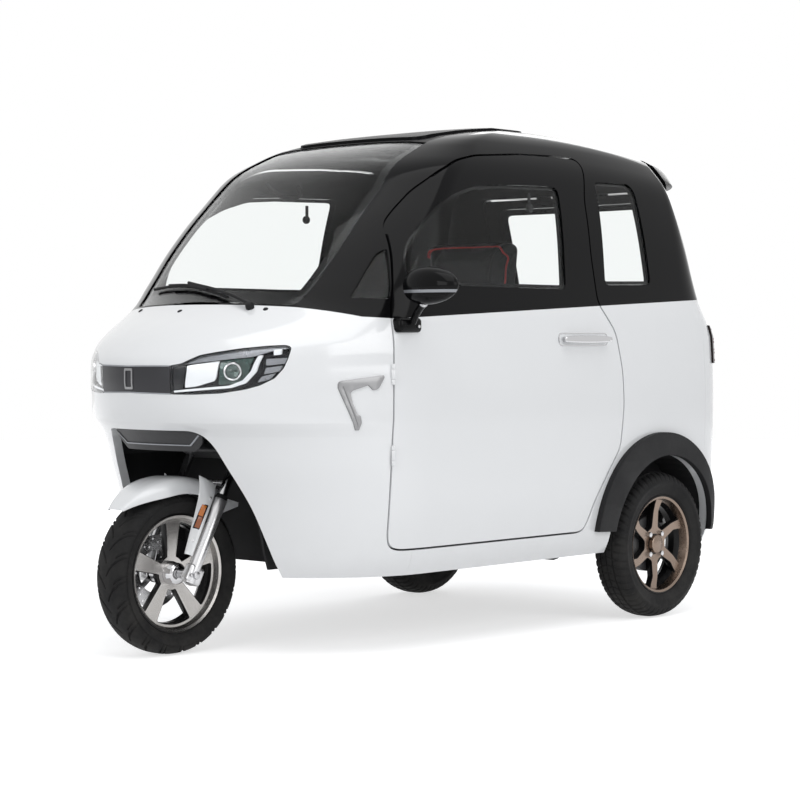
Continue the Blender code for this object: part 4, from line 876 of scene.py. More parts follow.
DOORS = ("door_left", "door_right")
PAINTED, BLACKED = [WHITE, LINING], [GLOSS_BLACK, LINING]
DOOR_LINE = rounded(DOOR, 0.028)
DOOR_OPENING = rounded(grow(DOOR, DOOR_GAP), 0.030)
HATCH_LINE = both_sides([(0.0, HATCH_BOTTOM_Z), (HATCH_HALF_WIDTH, HATCH_BOTTOM_Z),
                         (HATCH_HALF_WIDTH, HATCH_WAIST_Z), (HATCH_HALF_WIDTH - HATCH_TAPER, HATCH_TOP_Z),
                         (0.0, HATCH_TOP_Z)])
HATCH_GAP = rounded(grow(HATCH_LINE, DOOR_GAP), 0.034)
HATCH_EDGE = rounded(HATCH_LINE, 0.030)
WHEEL_GAP = circle((0, REAR_TYRE_RADIUS + ARCH_RISE), ARCH_RADIUS, steps=120)
LAMP_LINE = rounded(HEADLAMP, 0.006)
BAND_LINE = both_sides(NOSE_BAND)
BAND_GAP = both_sides(NOSE_BAND[:2] + [(0.156, 0.790), (0.156, 0.860)] + NOSE_BAND[2:])
SCREEN_LINE = rounded(both_sides(SCREEN), 0.02)
QUARTER_LINE = rounded(QUARTER_GLASS, 0.022)
CORNER_LINE = rounded(CORNER_GLASS, 0.010)
DOOR_GLASS_LINE = rounded(DOOR_GLASS, 0.024)
HATCH_GLASS_LINE = rounded(HATCH_GLASS, 0.026)
OPENING_LINE = rounded(both_sides(FRONT_OPENING), 0.03)
ROOF_STRIP = both_sides([(0.0, ROOF_STRIP_Z), (ROOF_HALF_WIDTH, ROOF_STRIP_Z),
                         (ROOF_HALF_WIDTH, OVER_ROOF_Z), (0.0, OVER_ROOF_Z)])
LID = rounded([(-0.28, -0.90), (0.28, -0.90), (0.28, -0.36), (-0.28, -0.36)], 0.055)


def nose_slab(outline, back=-1.2):
    return slab(outline, "front", AHEAD_Y, back)


def side_slab(outline, low=0.05, high=BEYOND):
    return slab(outline, "side", low, high)


def tail_slab(outline, front=0.0):
    return slab(outline, "front", front, BEYOND)


front = panel(SHELL, under_belt(AHEAD_Y, FRONT_SEAM_Y), "side", -BESIDE_X, BESIDE_X)
cut(front, side_slab(DOOR_OPENING, -BEYOND), nose_slab(OPENING_LINE), nose_slab(BAND_GAP, -1.4),
    nose_slab(LAMP_LINE), nose_slab(flipped(LAMP_LINE)))
body_piece(front, "front_body", PAINTED)

side_panel = panel(SHELL, under_belt(FRONT_SEAM_Y + SEAM, TAIL_SEAM_Y), "side", 0.2, BESIDE_X)
cut(side_panel, side_slab(DOOR_OPENING), side_slab(WHEEL_GAP))
body_pair(side_panel, "side_body", PAINTED)

tail = panel(SHELL, under_belt(TAIL_SEAM_Y + SEAM, BEHIND_Y), "side", -BESIDE_X, BESIDE_X)
cut(tail, tail_slab(HATCH_GAP), side_slab(WHEEL_GAP, DECK_HALF_WIDTH),
    side_slab(WHEEL_GAP, -BEYOND, -DECK_HALF_WIDTH), tail_slab(TAIL_LAMP, TAIL_LAMP_Y),
    tail_slab(flipped(TAIL_LAMP), TAIL_LAMP_Y))
body_piece(tail, "rear_body", PAINTED)

upper = panel(SHELL, over_belt(-1.8, BEHIND_Y), "side", 0.1, BESIDE_X)
cut(upper, nose_slab(SCREEN_LINE, SCREEN_TOP_Y), slab(ROOF_STRIP, "front", SCREEN_TOP_Y - 0.001, BEYOND),
    side_slab(DOOR_OPENING), side_slab(QUARTER_LINE), side_slab(CORNER_LINE), tail_slab(HATCH_GAP),
    side_slab(over_tail(SEAM), -0.1))
body_pair(upper, "side_frame", BLACKED)

roof = panel(SHELL, grow(ROOF_STRIP, -SEAM), "front", SCREEN_TOP_Y + SEAM, BEYOND)
cut(roof, side_slab(over_tail(SEAM), -0.6, 0.6), slab(grow(LID, LID_GAP), "plan", UNDER_ROOF_Z, OVER_ROOF_Z))
body_piece(roof, "roof", [ROOF_BLACK, LINING])
lid = keep(skin(-LID_RISE, LID_RISE + WALL * 0.7), slab(LID, "plan", UNDER_ROOF_Z, OVER_ROOF_Z))
even_shading(settle(bevelled(lid, 0.004, 3, 50), "roof_lid", [ROOF_BLACK, LINING], 0))

spoiler = lofted(spoiler_tail_at, True)
spoiler.data.materials.append(None)
keep(spoiler, side_slab(rounded(over_tail(0), 0.004), -0.7, 0.7))
cut(spoiler, pushed(lofted(closed=True), -WALL))
settle(recalculated(spoiler), "shown_rear_spoiler", ROOF_BLACK, 40,
       replaces="rear_spoiler")

door = panel(SHELL, DOOR_LINE, "side", 0.1, BESIDE_X)
door_low = keep(copied(door), side_slab(under_belt(-1.5, 0.0)))
body_pair(door_low, "door_panel", PAINTED, DOORS)
door_high = cut(keep(door, side_slab(over_belt(-1.5, 0.0))), side_slab(DOOR_GLASS_LINE))
body_pair(door_high, "door_frame", BLACKED, DOORS)

hatch = panel(SHELL, HATCH_EDGE, "front", 0.1, BEYOND)
hatch_low = keep(copied(hatch), side_slab(under_belt(0.1, BEHIND_Y), -0.6, 0.6))
body_piece(hatch_low, "hatch_panel", PAINTED, "hatch")
hatch_high = keep(hatch, side_slab(over_belt(0.1, BEHIND_Y), -0.6, 0.6))
body_piece(cut(hatch_high, tail_slab(HATCH_GLASS_LINE)), "hatch_frame", BLACKED, "hatch")


# Window glass, each pane with its black printed border

def bordered(line, view, low, high, border, node, bodies):
    """A pane and the black border on its inner side, which hides the glue."""
    pane = panel(PANE, grow(line, -SEAM), view, low, high)
    inner = panel(BORDER_SKIN, grow(line, -0.0006), view, low, high)
    cut(inner, slab(grow(line, -border), view, low - 0.05, high + 0.05))
    if view == "side":
        body_pair(pane, node, WINDOW, bodies)
        for piece, side, body in twins(inner, bodies):
            settle(piece, node + "_border_" + side, FRIT, 0, body)
    else:
        body_piece(pane, node, WINDOW, bodies)
        settle(inner, node + "_border", FRIT, 0, bodies)


bordered(SCREEN_LINE, "front", AHEAD_Y, SCREEN_TOP_Y - SEAM, 0.034, "windscreen", "vehicle")
bordered(QUARTER_LINE, "side", 0.1, BEYOND, 0.012, "quarter_glass", "vehicle")
bordered(CORNER_LINE, "side", 0.1, BEYOND, 0.007, "corner_glass", "vehicle")
bordered(DOOR_GLASS_LINE, "side", 0.1, BEYOND, 0.012, "door_glass", DOORS)
bordered(HATCH_GLASS_LINE, "front", 0.1, BEYOND, 0.022, "hatch_glass", "hatch")


# Lamps and the band between them

def layer(outline, depth, thickness, back=-1.2):
    """A sheet that follows the nose at a depth behind its surface, cut to a front view outline."""
    return keep(skin(depth, thickness), nose_slab(outline, back))


def nose_pair(item, name, material):
    for piece, side, body in twins(item):
        even_shading(settle(piece, name + "_" + side, material, 0, body))


body_pair(layer(grow(LAMP_LINE, -SEAM), 0.0006, 0.0026), "headlamp", CLEAR_LENS)
nose_pair(layer(grow(LAMP_LINE, -0.0012), 0.0260, 0.0020), "lamp_bucket", LAMP_DARK)
nose_pair(cut(layer(grow(LAMP_LINE, -0.0008), 0.0034, 0.0230), nose_slab(grow(LAMP_LINE, -0.0040))),
          "lamp_wall", LAMP_DARK)

LAMP_LAYERS = [
    ("lamp_upper_strip", 0.010, LAMP_GREY, [(0.158, 0.873), (0.198, 0.897), (0.28, 0.911), (0.364, 0.921),
                                            (0.42, 0.925), (0.428, 0.918), (0.389, 0.909), (0.35, 0.892),
                                            (0.274, 0.882), (0.203, 0.872)]),
    ("lamp_reflector", 0.014, LAMP_WHITE, [(0.191, 0.866), (0.273, 0.880), (0.267, 0.832), (0.262, 0.822),
                                           (0.215, 0.806), (0.183, 0.802)]),
    ("lamp_inner_block", 0.009, LAMP_DARK, [(0.153, 0.860), (0.189, 0.863), (0.178, 0.797), (0.153, 0.796)]),
    ("lamp_projector_plate", 0.018, LAMP_GREEN, [(0.275, 0.881), (0.348, 0.890), (0.334, 0.826), (0.300, 0.812),
                                                 (0.270, 0.812)]),
    ("lamp_day_light", 0.006, LAMP_WHITE, [(0.155, 0.788), (0.308, 0.802), (0.342, 0.816), (0.364, 0.849),
                                           (0.374, 0.897), (0.365, 0.896), (0.353, 0.851), (0.335, 0.824),
                                           (0.304, 0.809), (0.155, 0.7935)]),
    ("lamp_slat_top", 0.010, LAMP_GREY, [(0.380, 0.886), (0.422, 0.889), (0.418, 0.873), (0.381, 0.867)]),
    ("lamp_slat_middle", 0.010, LAMP_GREY, [(0.381, 0.860), (0.413, 0.867), (0.408, 0.850), (0.377, 0.842)]),
    ("lamp_slat_low", 0.010, LAMP_GREY, [(0.373, 0.835), (0.400, 0.845), (0.390, 0.827), (0.364, 0.818)]),
    ("lamp_side_marker", 0.008, LAMP_WHITE, [(0.392, 0.912), (0.407, 0.915), (0.409, 0.899), (0.395, 0.896)]),
]
for name, depth, material, outline in LAMP_LAYERS:
    nose_pair(layer(rounded(outline, 0.003, 3), depth, 0.003), name, material)


def nose_point(x, z, depth=0.0):
    """A point on the nose, or a depth behind it, with the direction out of the surface."""
    width, start, power = side_at(z), nose_start_at(z), nose_power_at(z)
    y = start - (start - nose_at(z)) * (1 - (abs(x) / width) ** power) ** (1 / power)
    outwards = BODY_SURFACE.normal(Vector((x, y, z)))
    return Vector((x, y, z)) - outwards * depth, outwards


for sign, side in SIDES:
    spot = nose_point(sign * 0.316, 0.850, 0.011)
    ball = primitive("uv_sphere", segments=48, ring_count=24, radius=0.021)
    placed(ball, facing(*spot) @ Matrix.Diagonal((1, 1, 0.42, 1)))
    settle(ball, "lamp_projector_" + side, SMALL_LENS, 60)
    ring = [(-0.004, 0.0212), (0.004, 0.0212), (0.005, 0.0235), (0.004, 0.0262), (-0.004, 0.0262)]
    cup = [(-0.0035, 0.001), (-0.001, 0.001), (-0.001, 0.020), (-0.0035, 0.020)]
    for rows, name, material in ((ring, "ring", CHROME), (cup, "cup", LAMP_GREEN)):
        settle(placed(turned(rows, ORIGIN, 64), facing(*spot, "X", "Z")),
               "lamp_projector_{}_{}".format(name, side), material, 40)


def band_slab(outline):
    return nose_slab(outline, -1.4)


def oblong(low, high, radius=0.0, steps=5):
    """A rectangle between two corners, plain or with rounded corners."""
    outline = [low, (high[0], low[1]), high, (low[0], high[1])]
    return rounded(outline, radius, steps) if radius else outline


band = layer(grow(BAND_LINE, -SEAM), 0.0006, WALL - 0.001, -1.4)
body_piece(band, "nose_band", BAND_GREY)
band_edge = keep(skin(-0.0012, 0.004), band_slab(BAND_LINE))
cut(band_edge, band_slab(both_sides([(0.0, 0.789), (0.150, 0.786), (0.150, 0.864), (0.0, 0.862)])))
settle(band_edge, "nose_band_edge", LAMP_GREY, 30)
plaque = keep(skin(-0.0022, 0.004), band_slab(oblong((-0.018, 0.796), (0.018, 0.858), 0.005)))
cut(plaque, band_slab(oblong((-0.0125, 0.803), (0.0125, 0.851), 0.003)))
settle(plaque, "nose_band_frame", TRIM_SILVER, 30)

for sign, side in SIDES:
    outline = TAIL_LAMP if sign > 0 else flipped(TAIL_LAMP)
    lamp = keep(skin(-0.008, 0.008 + WALL),
                tail_slab(rounded(grow(outline, -SEAM), 0.010), TAIL_LAMP_Y + SEAM))
    body_piece(lamp, "tail_lamp_" + side, [LAMP_BLACK, LAMP_DARK])
    for index, (low, high) in enumerate(((0.868, 0.900), (0.905, 0.937), (0.942, 0.982))):
        strip = keep(skin(-0.0092, 0.004), tail_slab(oblong((sign * 0.495, low), (sign * 0.62, high)), 0.318))
        cut(strip, tail_slab(oblong((sign * 0.502, low + 0.006), (sign * 0.613, high - 0.006)), 0.2))
        settle(strip, "tail_lamp_strip_{}_{}".format(index + 1, side), RED_LENS, 30)


# Wheel arch flares

flare = keep(skin(-FLARE_REACH, FLARE_REACH + 0.010),
             side_slab(circle(FLARE_CENTRE, FLARE_RADIUS, steps=160), 0.4, 0.8))
cut(flare, pushed(lofted(closed=True), SEAM),
    side_slab(circle((0, REAR_TYRE_RADIUS + ARCH_RISE), ARCH_RADIUS - 0.003, steps=120), 0.3),
    side_slab([(-0.6, 0.0), (0.6, 0.0), (0.6, 0.265), (-0.6, 0.325)], 0.3))
pair(bevelled(flare, 0.005, 3, 60), "arch_flare", MATT_BLACK, 35, node="arch_flare")


# Wheels

def tyre_section(radius, width, rim_radius, rim_width):
    """Half profile of a tyre, from its bead over the side wall to the middle of the tread."""
    half, bead = width / 2, rim_width / 2
    return [(bead - 0.0085, rim_radius - 0.010), (bead - 0.006, rim_radius - 0.002), (bead, rim_radius + 0.002),
            (bead + 0.006, rim_radius + 0.008), (half - 0.004, (radius + rim_radius) / 2 - 0.008),
            (half, (radius + rim_radius) / 2 + 0.004), (half - 0.002, radius - 0.030), (half - 0.006, radius - 0.019),
            (half - 0.013, radius - 0.011), (half - 0.024, radius - 0.0055), (half - 0.038, radius - 0.002),
            (half * 0.22, radius - 0.0002), (0.0, radius)]


def along_profile(points, count):
    """Points spaced evenly on a smooth line through a profile."""
    rows = [Vector(point) for point in points]
    lengths = [0.0]
    for before, after in zip(rows, rows[1:]):
        lengths.append(lengths[-1] + (after - before).length)
    xs = curve_through([(length, row.x) for length, row in zip(lengths, rows)])
    rs = curve_through([(length, row.y) for length, row in zip(lengths, rows)])
    return [(xs(lengths[-1] * i / count), rs(lengths[-1] * i / count)) for i in range(count + 1)]


def treaded_tyre(centre, radius, width, rim_radius, rim_width, groove, depth, around=720, across=64):
    """A tyre whose tread is cut by groove(turn, share), which gives 1 in a groove and 0 on a block."""
    half = along_profile(tyre_section(radius, width, rim_radius, rim_width), across)
    profile = half + [(-x, r) for x, r in reversed(half[:-1])]
    bead_x, bead_r = rim_width / 2 - 0.0085, rim_radius - 0.0105
    tread_low = radius - 0.030
    points, faces = [], []
    size = len(profile) + 2
    for i in range(around):
        turn = i / around
        s, c = sin(2 * pi * turn), cos(2 * pi * turn)
        for x, r in profile:
            if r > tread_low:
                r -= depth * min(1.0, (r - tread_low) / 0.006) * groove(turn, x / (width / 2))
            points.append((x, r * s, r * c))
        points += [(x, bead_r * s, bead_r * c) for x in (-bead_x, bead_x)]
        a, b = i * size, (i + 1) % around * size
        faces += [(a + k, a + (k + 1) % size, b + (k + 1) % size, b + k) for k in range(size)]
    return recalculated(placed(from_points(points, faces), centre), 0)


def ridge(value, width):
    """1 at zero, fading to 0 at a width, with steep sides."""
    share = abs(value) / width
    return 1.0 if share < 0.55 else 0.0 if share > 1 else (1 - share) / 0.45


def front_groove(turn, share):
    """Long sweeping sipes that reach back from the middle to the shoulders, two to a pitch."""
    pitches, deepest = 20, 0.0
    for side in (1, -1):
        s = share * side
        if s < -0.12:
            continue
        phase = (turn * pitches + (0.5 if side < 0 else 0.0)) % 1.0
        for start, low, high, lean, bow in ((0.10, 0.02, 0.62, 0.62, 0.30), (0.48, 0.34, 0.94, 0.42, 0.16),
                                            (0.80, 0.45, 1.0, 0.34, 0.10)):
            if low <= s <= high:
                way = (s - low) / (high - low)
                place = start + lean * way + bow * way * (1 - way)
                away = (phase - place + 0.5) % 1.0 - 0.5
                taper = 0.5 + 0.5 * min(1.0, min(way, 1 - way) * 6)
                deepest = max(deepest, ridge(away, 0.060 * taper))
    return deepest


def rear_groove(turn, share):
    """Three grooves around the tread and fine slots over its shoulders."""
    deepest = max(ridge(share, 0.035), ridge(abs(share) - 0.36, 0.040))
    pitches = 56
    phase = (turn * pitches + abs(share) * 0.8) % 1.0
    if 0.44 < abs(share) < 0.97:
        deepest = max(deepest, 0.8 * ridge((phase + 0.5) % 1.0 - 0.5, 0.20))
    if 0.06 < abs(share) < 0.30:
        deepest = max(deepest, 0.5 * ridge((phase * 0.5 + 0.5) % 1.0 - 0.5, 0.10))
    return deepest


def spoke_window(angle, inner, outer, low_wide, high_wide):
    """Outline of the pocket between two spokes about the axle."""
    return (circle((0, 0), outer, angle - high_wide, angle + high_wide, 20)
            + circle((0, 0), inner, angle + low_wide, angle - low_wide, 8))


def cast_wheel(centre, radius, width, sign, face, hub_out, hub_in, hub_radius, pockets, machined,
               node, body):
    """Barrel and spoked face in black, with the turned skin of lip and spokes as a thin layer on its face."""
    half = width / 2
    barrel = [(-half, radius), (-half + 0.005, radius + 0.0005), (-half + 0.008, radius - 0.008),
              (-half + 0.020, radius - 0.011), (-half + 0.030, radius - 0.024), (half - 0.040, radius - 0.024),
              (half - 0.030, radius - 0.012), (half - 0.008, radius - 0.008), (half - 0.006, radius + 0.0005),
              (half, radius), (half + 0.001, radius - 0.004), (half - 0.006, radius - 0.012),
              (half - 0.030, radius - 0.020), (half - 0.044, radius - 0.029), (-half + 0.028, radius - 0.029),
              (-half + 0.006, radius - 0.015)]
    disc = [(face, radius - 0.014), (face - 0.003, radius - 0.030), (hub_out + 0.002, hub_radius + 0.022),
            (hub_out, hub_radius), (hub_out, 0.011), (-hub_in, 0.011), (-hub_in, hub_radius - 0.002),
            (hub_out - 0.022, hub_radius + 0.010), (face - 0.024, radius - 0.034),
            (face - 0.024, radius - 0.014)]
    bright = [(face + 0.0006, radius - 0.015), (face - 0.0024, radius - 0.030),
              (hub_out + 0.0026, hub_radius + 0.020), (hub_out + 0.0006, hub_radius + 0.001),
              (hub_out - 0.0014, hub_radius + 0.001), (hub_out + 0.0006, hub_radius + 0.020),
              (face - 0.0044, radius - 0.030), (face - 0.0014, radius - 0.015)]
    lip = [(half + 0.0016, radius - 0.0045), (half - 0.002, radius - 0.0118), (half - 0.028, radius - 0.0195),
           (half - 0.028, radius - 0.0185), (half - 0.0045, radius - 0.010), (half - 0.001, radius - 0.0035)]
    barrel, disc, bright, lip = (turned(rows, ORIGIN, 144, sign=sign) for rows in (barrel, disc, bright, lip))
    for outline in pockets:
        cut(disc, side_slab(outline, -0.2, 0.2))
        cut(bright, side_slab(grow(outline, 0.0018), -0.2, 0.2))
    bevelled(disc, 0.0022, 2, 50)
    settle(placed(joined(barrel, disc), centre), "shown_" + node, WHEEL_BLACK, 30, body, node)
    settle(placed(joined(bright, lip), centre), node + "_machined_face", machined, 30, body)


def bladed_pockets(count, phase, inner, outer):
    """Pockets between blades that kink near the rim, as on the rear wheels."""
    result = []
    for i in range(count):
        middle = phase + 2 * pi * (i + 0.5) / count
        left, right = middle - pi / count, middle + pi / count
        knee = outer * 0.74
        rows = ([(inner, right - 0.30), (knee, right - 0.145), (outer, right - 0.235)],
                [(inner, left + 0.30), (knee, left + 0.115), (outer, left + 0.015)])
        outline = [(r * cos(a), r * sin(a)) for r, a in rows[0][:-1]]
        outline += circle((0, 0), outer, rows[0][-1][1], rows[1][-1][1], 14)
        outline += [(r * cos(a), r * sin(a)) for r, a in reversed(rows[1][:-1])]
        result.append(rounded(outline, 0.006))
    return result


treaded = treaded_tyre(FRONT_AXLE, FRONT_TYRE_RADIUS, FRONT_TYRE_WIDTH, FRONT_RIM_RADIUS, FRONT_RIM_WIDTH,
                       front_groove, 0.0048)
settle(treaded, "shown_front_tyre", RUBBER, 40, "front_wheel", "front_tyre")
front_pockets = [spoke_window(radians(18) + 2 * pi * (i + 0.5) / 5, 0.052, FRONT_RIM_RADIUS - 0.026,
                              radians(16), radians(25)) for i in range(5)]
cast_wheel(FRONT_AXLE, FRONT_RIM_RADIUS, FRONT_RIM_WIDTH, 1, 0.026, 0.014, 0.050, 0.030,
           [rounded(outline, 0.008) for outline in front_pockets], FRONT_MACHINED, "front_rim", "front_wheel")

for sign, side in SIDES:
    centre, body = Vector((sign * REAR_AXLE.x, 0, REAR_AXLE.z)), "rear_wheel_" + side
    treaded = treaded_tyre(centre, REAR_TYRE_RADIUS, REAR_TYRE_WIDTH, REAR_RIM_RADIUS, REAR_RIM_WIDTH,
                           rear_groove, 0.0050)
    settle(treaded, "shown_rear_tyre_" + side, RUBBER, 40, body, "rear_tyre_" + side)
    cast_wheel(centre, REAR_RIM_RADIUS, REAR_RIM_WIDTH, sign, 0.030, 0.020, 0.034, 0.034,
               bladed_pockets(6, radians(30), 0.060, REAR_RIM_RADIUS - 0.016), REAR_MACHINED,
               "rear_rim_" + side, body)
    cap = [(0.018, 0.0005), (0.036, 0.0005), (0.037, 0.026), (0.034, 0.030), (0.018, 0.031)]
    settle(turned(cap, centre, 64, sign=sign), "hub_cap_" + side, REAR_MACHINED, 40, body)
    drum = [(-0.030, 0.030), (-0.030, 0.094), (-0.006, 0.094), (-0.002, 0.088), (-0.002, 0.030)]
    settle(turned(drum, centre, 96, sign=sign), "brake_drum_" + side, DARK_STEEL, 40, body)
    for i in range(4):
        angle = radians(45) + i * pi / 2
        place = centre + Vector((sign * 0.019, 0.047 * cos(angle), 0.047 * sin(angle)))
        nut = rod(place, place + Vector((sign * 0.013, 0, 0)), 0.0095, 6, 0.0012)
        settle(nut, "wheel_nut_{}_{}".format(i + 1, side), CHROME, 30, body)

hub = [(0.012, 0.010), (0.012, 0.034), (0.016, 0.0355), (0.020, 0.034), (0.044, 0.032), (0.048, 0.028),
       (0.050, 0.022), (0.0505, 0.010)]
settle(turned(hub, FRONT_AXLE), "front_hub_barrel", CHROME, 35, "front_wheel")
hub_right = [(-0.050, 0.010), (-0.050, 0.032), (-0.030, 0.034), (0.002, 0.034), (0.002, 0.010)]
settle(turned(hub_right, FRONT_AXLE), "front_hub_inner", SILVER, 35, "front_wheel")

low_x, high_x = (corner.x - OFFSET.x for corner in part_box("brake_disc"))


def plate_ring(inner, outer, play=0.0, steps=96):
    """A flat ring in the plane of the brake disc."""
    return turned([(low_x + play, inner), (high_x - play, inner), (high_x - play, outer),
                   (low_x + play, outer)], ORIGIN, steps)


disc = plate_ring(0.064, size_of("brake_disc").z / 2, 0.0, 120)
for i in range(30):
    angle, reach = 2 * pi * i / 30, (0.078, 0.088, 0.099)[i % 3]
    cut(disc, side_slab(circle((reach * cos(angle), reach * sin(angle)), 0.0034, steps=14), -0.2, 0.2))
for i in range(5):
    arm = side_slab([(0.012, -0.010), (0.070, -0.006), (0.070, 0.012), (0.012, 0.010)],
                    low_x + 0.0005, high_x - 0.0005)
    boolean(disc, placed(arm, Matrix.Rotation(2 * pi * i / 5, 4, "X")), "UNION")
boolean(disc, plate_ring(0.012, 0.034, 0.0003, 64), "UNION")
settle(placed(disc, FRONT_AXLE), "shown_brake_disc", DISC_STEEL, 30, "front_wheel",
       "brake_disc")


# Fork, mudguard and handlebar

FORWARD = Vector((0, -STEER_DIRECTION.z, STEER_DIRECTION.y))
FORK_LEG_X = 0.105
FORK_TILT = Matrix.Rotation(-radians(28.5), 4, "X")
CLAMP_AT, BAR_AT, BRIDGE_AT = 0.41, 0.86, 0.3014
GUARD_RADIUS, GUARD_HALF_WIDTH, GUARD_DEPTH = 0.290, 0.076, 0.050
GUARD_FRONT, GUARD_BACK, GUARD_ROWS = 46, 36, 90


def on_fork(up, forward=0.0, x=0.0):
    """A place on the steered parts: up the fork from the axle, ahead of it and out to the side."""
    return FRONT_AXLE + STEER_DIRECTION * up + FORWARD * forward + Vector((x, 0, 0))


def steered(item, name, material, angle=35, replaces=()):
    return settle(item, name, material, angle, "steering", replaces)


legs = []
for sign, side in SIDES:
    x = sign * FORK_LEG_X
    sleeve = [(0.0, 0.012), (0.012, 0.017), (0.05, 0.0185), (0.30, 0.0195), (0.80, 0.0195), (0.86, 0.0208),
              (0.975, 0.0208), (1.0, 0.019)]
    lug = block((0.036, 0.058, 0.056), ORIGIN, 0.010, 4)
    placed(lug, FORK_TILT, FRONT_AXLE + Vector((x - sign * 0.002, 0.006, 0)))
    legs += [rounded_rod(on_fork(-0.030, 0, x), on_fork(0.250, 0, x), sleeve), lug]
    steered(rod(on_fork(0.20, 0, x), on_fork(0.440, 0, x), 0.0148, 40, 0.001), "stanchion_" + side, CHROME)
    seal = rounded_rod(on_fork(0.247, 0, x), on_fork(0.262, 0, x),
                       [(0.0, 0.0195), (0.5, 0.0195), (1.0, 0.0165)])
    steered(seal, "dust_seal_" + side, SOFT_RUBBER)
    nut = [FRONT_AXLE + Vector((x + sign * out, 0, 0)) for out in (0.015, 0.0265)]
    steered(rod(*nut, 0.0125, 6, 0.001), "axle_nut_" + side, STEEL)
    bolt = [on_fork(-0.006, 0.016, x + sign * out) for out in (0.013, 0.022)]
    steered(rod(*bolt, 0.006, 6, 0.0006), "clamp_bolt_" + side, STEEL)
    spacer = [FRONT_AXLE + Vector((out, 0, 0)) for out in (0.0525 if sign > 0 else -0.064, x - sign * 0.008)]
    steered(rod(*spacer, 0.014, 40, 0.001), "axle_spacer_" + side, STEEL)
steered(joined(*legs), "shown_fork", SILVER, replaces="fork")
clamp = placed(block((0.262, 0.058, 0.034), ORIGIN, 0.010, 4), FORK_TILT, on_fork(CLAMP_AT))
for x in (FORK_LEG_X, -FORK_LEG_X):
    ends = [on_fork(CLAMP_AT + up, 0.033, x - 0.02) for up in (-0.03, 0.03)]
    cut(clamp, rod(*ends, 0.006, 24))
steered(clamp, "fork_clamp", DARK_STEEL)
steered(rod(on_fork(CLAMP_AT), on_fork(BAR_AT + 0.012), 0.0138, 40), "steering_stem", DARK_STEEL)
axle_half = Vector((0.128, 0, 0))
steered(rod(FRONT_AXLE - axle_half, FRONT_AXLE + axle_half, 0.0088), "axle", STEEL)
steered(rod(*(on_fork(BRIDGE_AT, 0, x) for x in (-FORK_LEG_X, FORK_LEG_X)), 0.0088), "fork_bridge", SILVER)
caliper = cut(block((0.034, 0.058, 0.086), ORIGIN, 0.009), block((0.010, 0.09, 0.11), (0.0, -0.012, 0.0)))
placed(caliper, Matrix.Rotation(-radians(62), 4, "X"), on_fork(0.085, -0.050, -0.058))
steered(caliper, "brake_caliper", DARK_STEEL)


def mudguard():
    """The front mudguard: a pointed tip, full sides over the tyre and a crowned top."""
    points = []
    for step in range(GUARD_ROWS + 1):
        share = step / GUARD_ROWS
        turn = radians(GUARD_FRONT - (GUARD_FRONT + GUARD_BACK) * share)
        full = sin(pi / 2 * min(1.0, share / 0.45))
        wide, deep = GUARD_HALF_WIDTH * (0.40 + 0.60 * full), GUARD_DEPTH * (0.16 + 0.84 * full)
        shape = along_profile([(0.0, 0.0), (wide * 0.45, -deep * 0.012), (wide * 0.79, -deep * 0.09),
                               (wide * 0.94, -deep * 0.26), (wide, -deep * 0.50), (wide, -deep)], 16)
        for x, drop in [(-x, drop) for x, drop in reversed(shape[1:])] + shape:
            r = GUARD_RADIUS + drop
            points.append(FRONT_AXLE + Vector((x, -r * sin(turn), r * cos(turn))))
    return sheet(points, 33, 0.0034, 0.0012)


# Mudguard stays by height: the front edge's place across and ahead, and the rear edge's place across
STAY_ROWS = [(0.285, 0.0765, 0.090, 0.088), (0.255, 0.0765, 0.072, 0.098), (0.23, 0.0768, 0.062, 0.101),
             (0.16, 0.080, 0.052, 0.104), (0.11, 0.083, 0.047, 0.105), (0.05, 0.086, 0.040, 0.106)]
STAY_LINES = [curve_through([(-row[0], row[k]) for row in STAY_ROWS]) for k in (1, 2, 3)]
STAY_BACK = 0.0250


def stay(sign):
    """The white plate that carries the mudguard down the front of a fork leg."""
    points, steps, across = [], 24, 7
    for i in range(steps + 1):
        up = STAY_ROWS[0][0] + (STAY_ROWS[-1][0] - STAY_ROWS[0][0]) * i / steps
        front_x, front_out, rear_x = (line(-up) for line in STAY_LINES)
        for k in range(across):
            t = k / (across - 1)
            bow = 0.004 * sin(pi * t)
            points.append(on_fork(up, front_out + (STAY_BACK - front_out) * t + bow * 0.5,
                                  sign * (front_x + (rear_x - front_x) * t + bow)))
    return sheet(points, across, 0.0030, 0.001)


def stay_frame(up, share, sign):
    """Place and turn on the outer face of a stay: Z out of the plate, Y up the fork."""
    front_x, front_out, rear_x = (line(-up) for line in STAY_LINES)
    inwards, across = STAY_BACK - front_out, sign * (rear_x - front_x)
    outwards = (FORWARD * inwards + Vector((across, 0, 0))).cross(STEER_DIRECTION).normalized()
    if outwards.x * sign < 0:
        outwards = -outwards
    turn = Matrix((STEER_DIRECTION.cross(outwards), STEER_DIRECTION, outwards)).transposed().to_4x4()
    place = on_fork(up, front_out + inwards * share, sign * front_x + across * share)
    return Matrix.Translation(place + outwards * 0.0035) @ turn


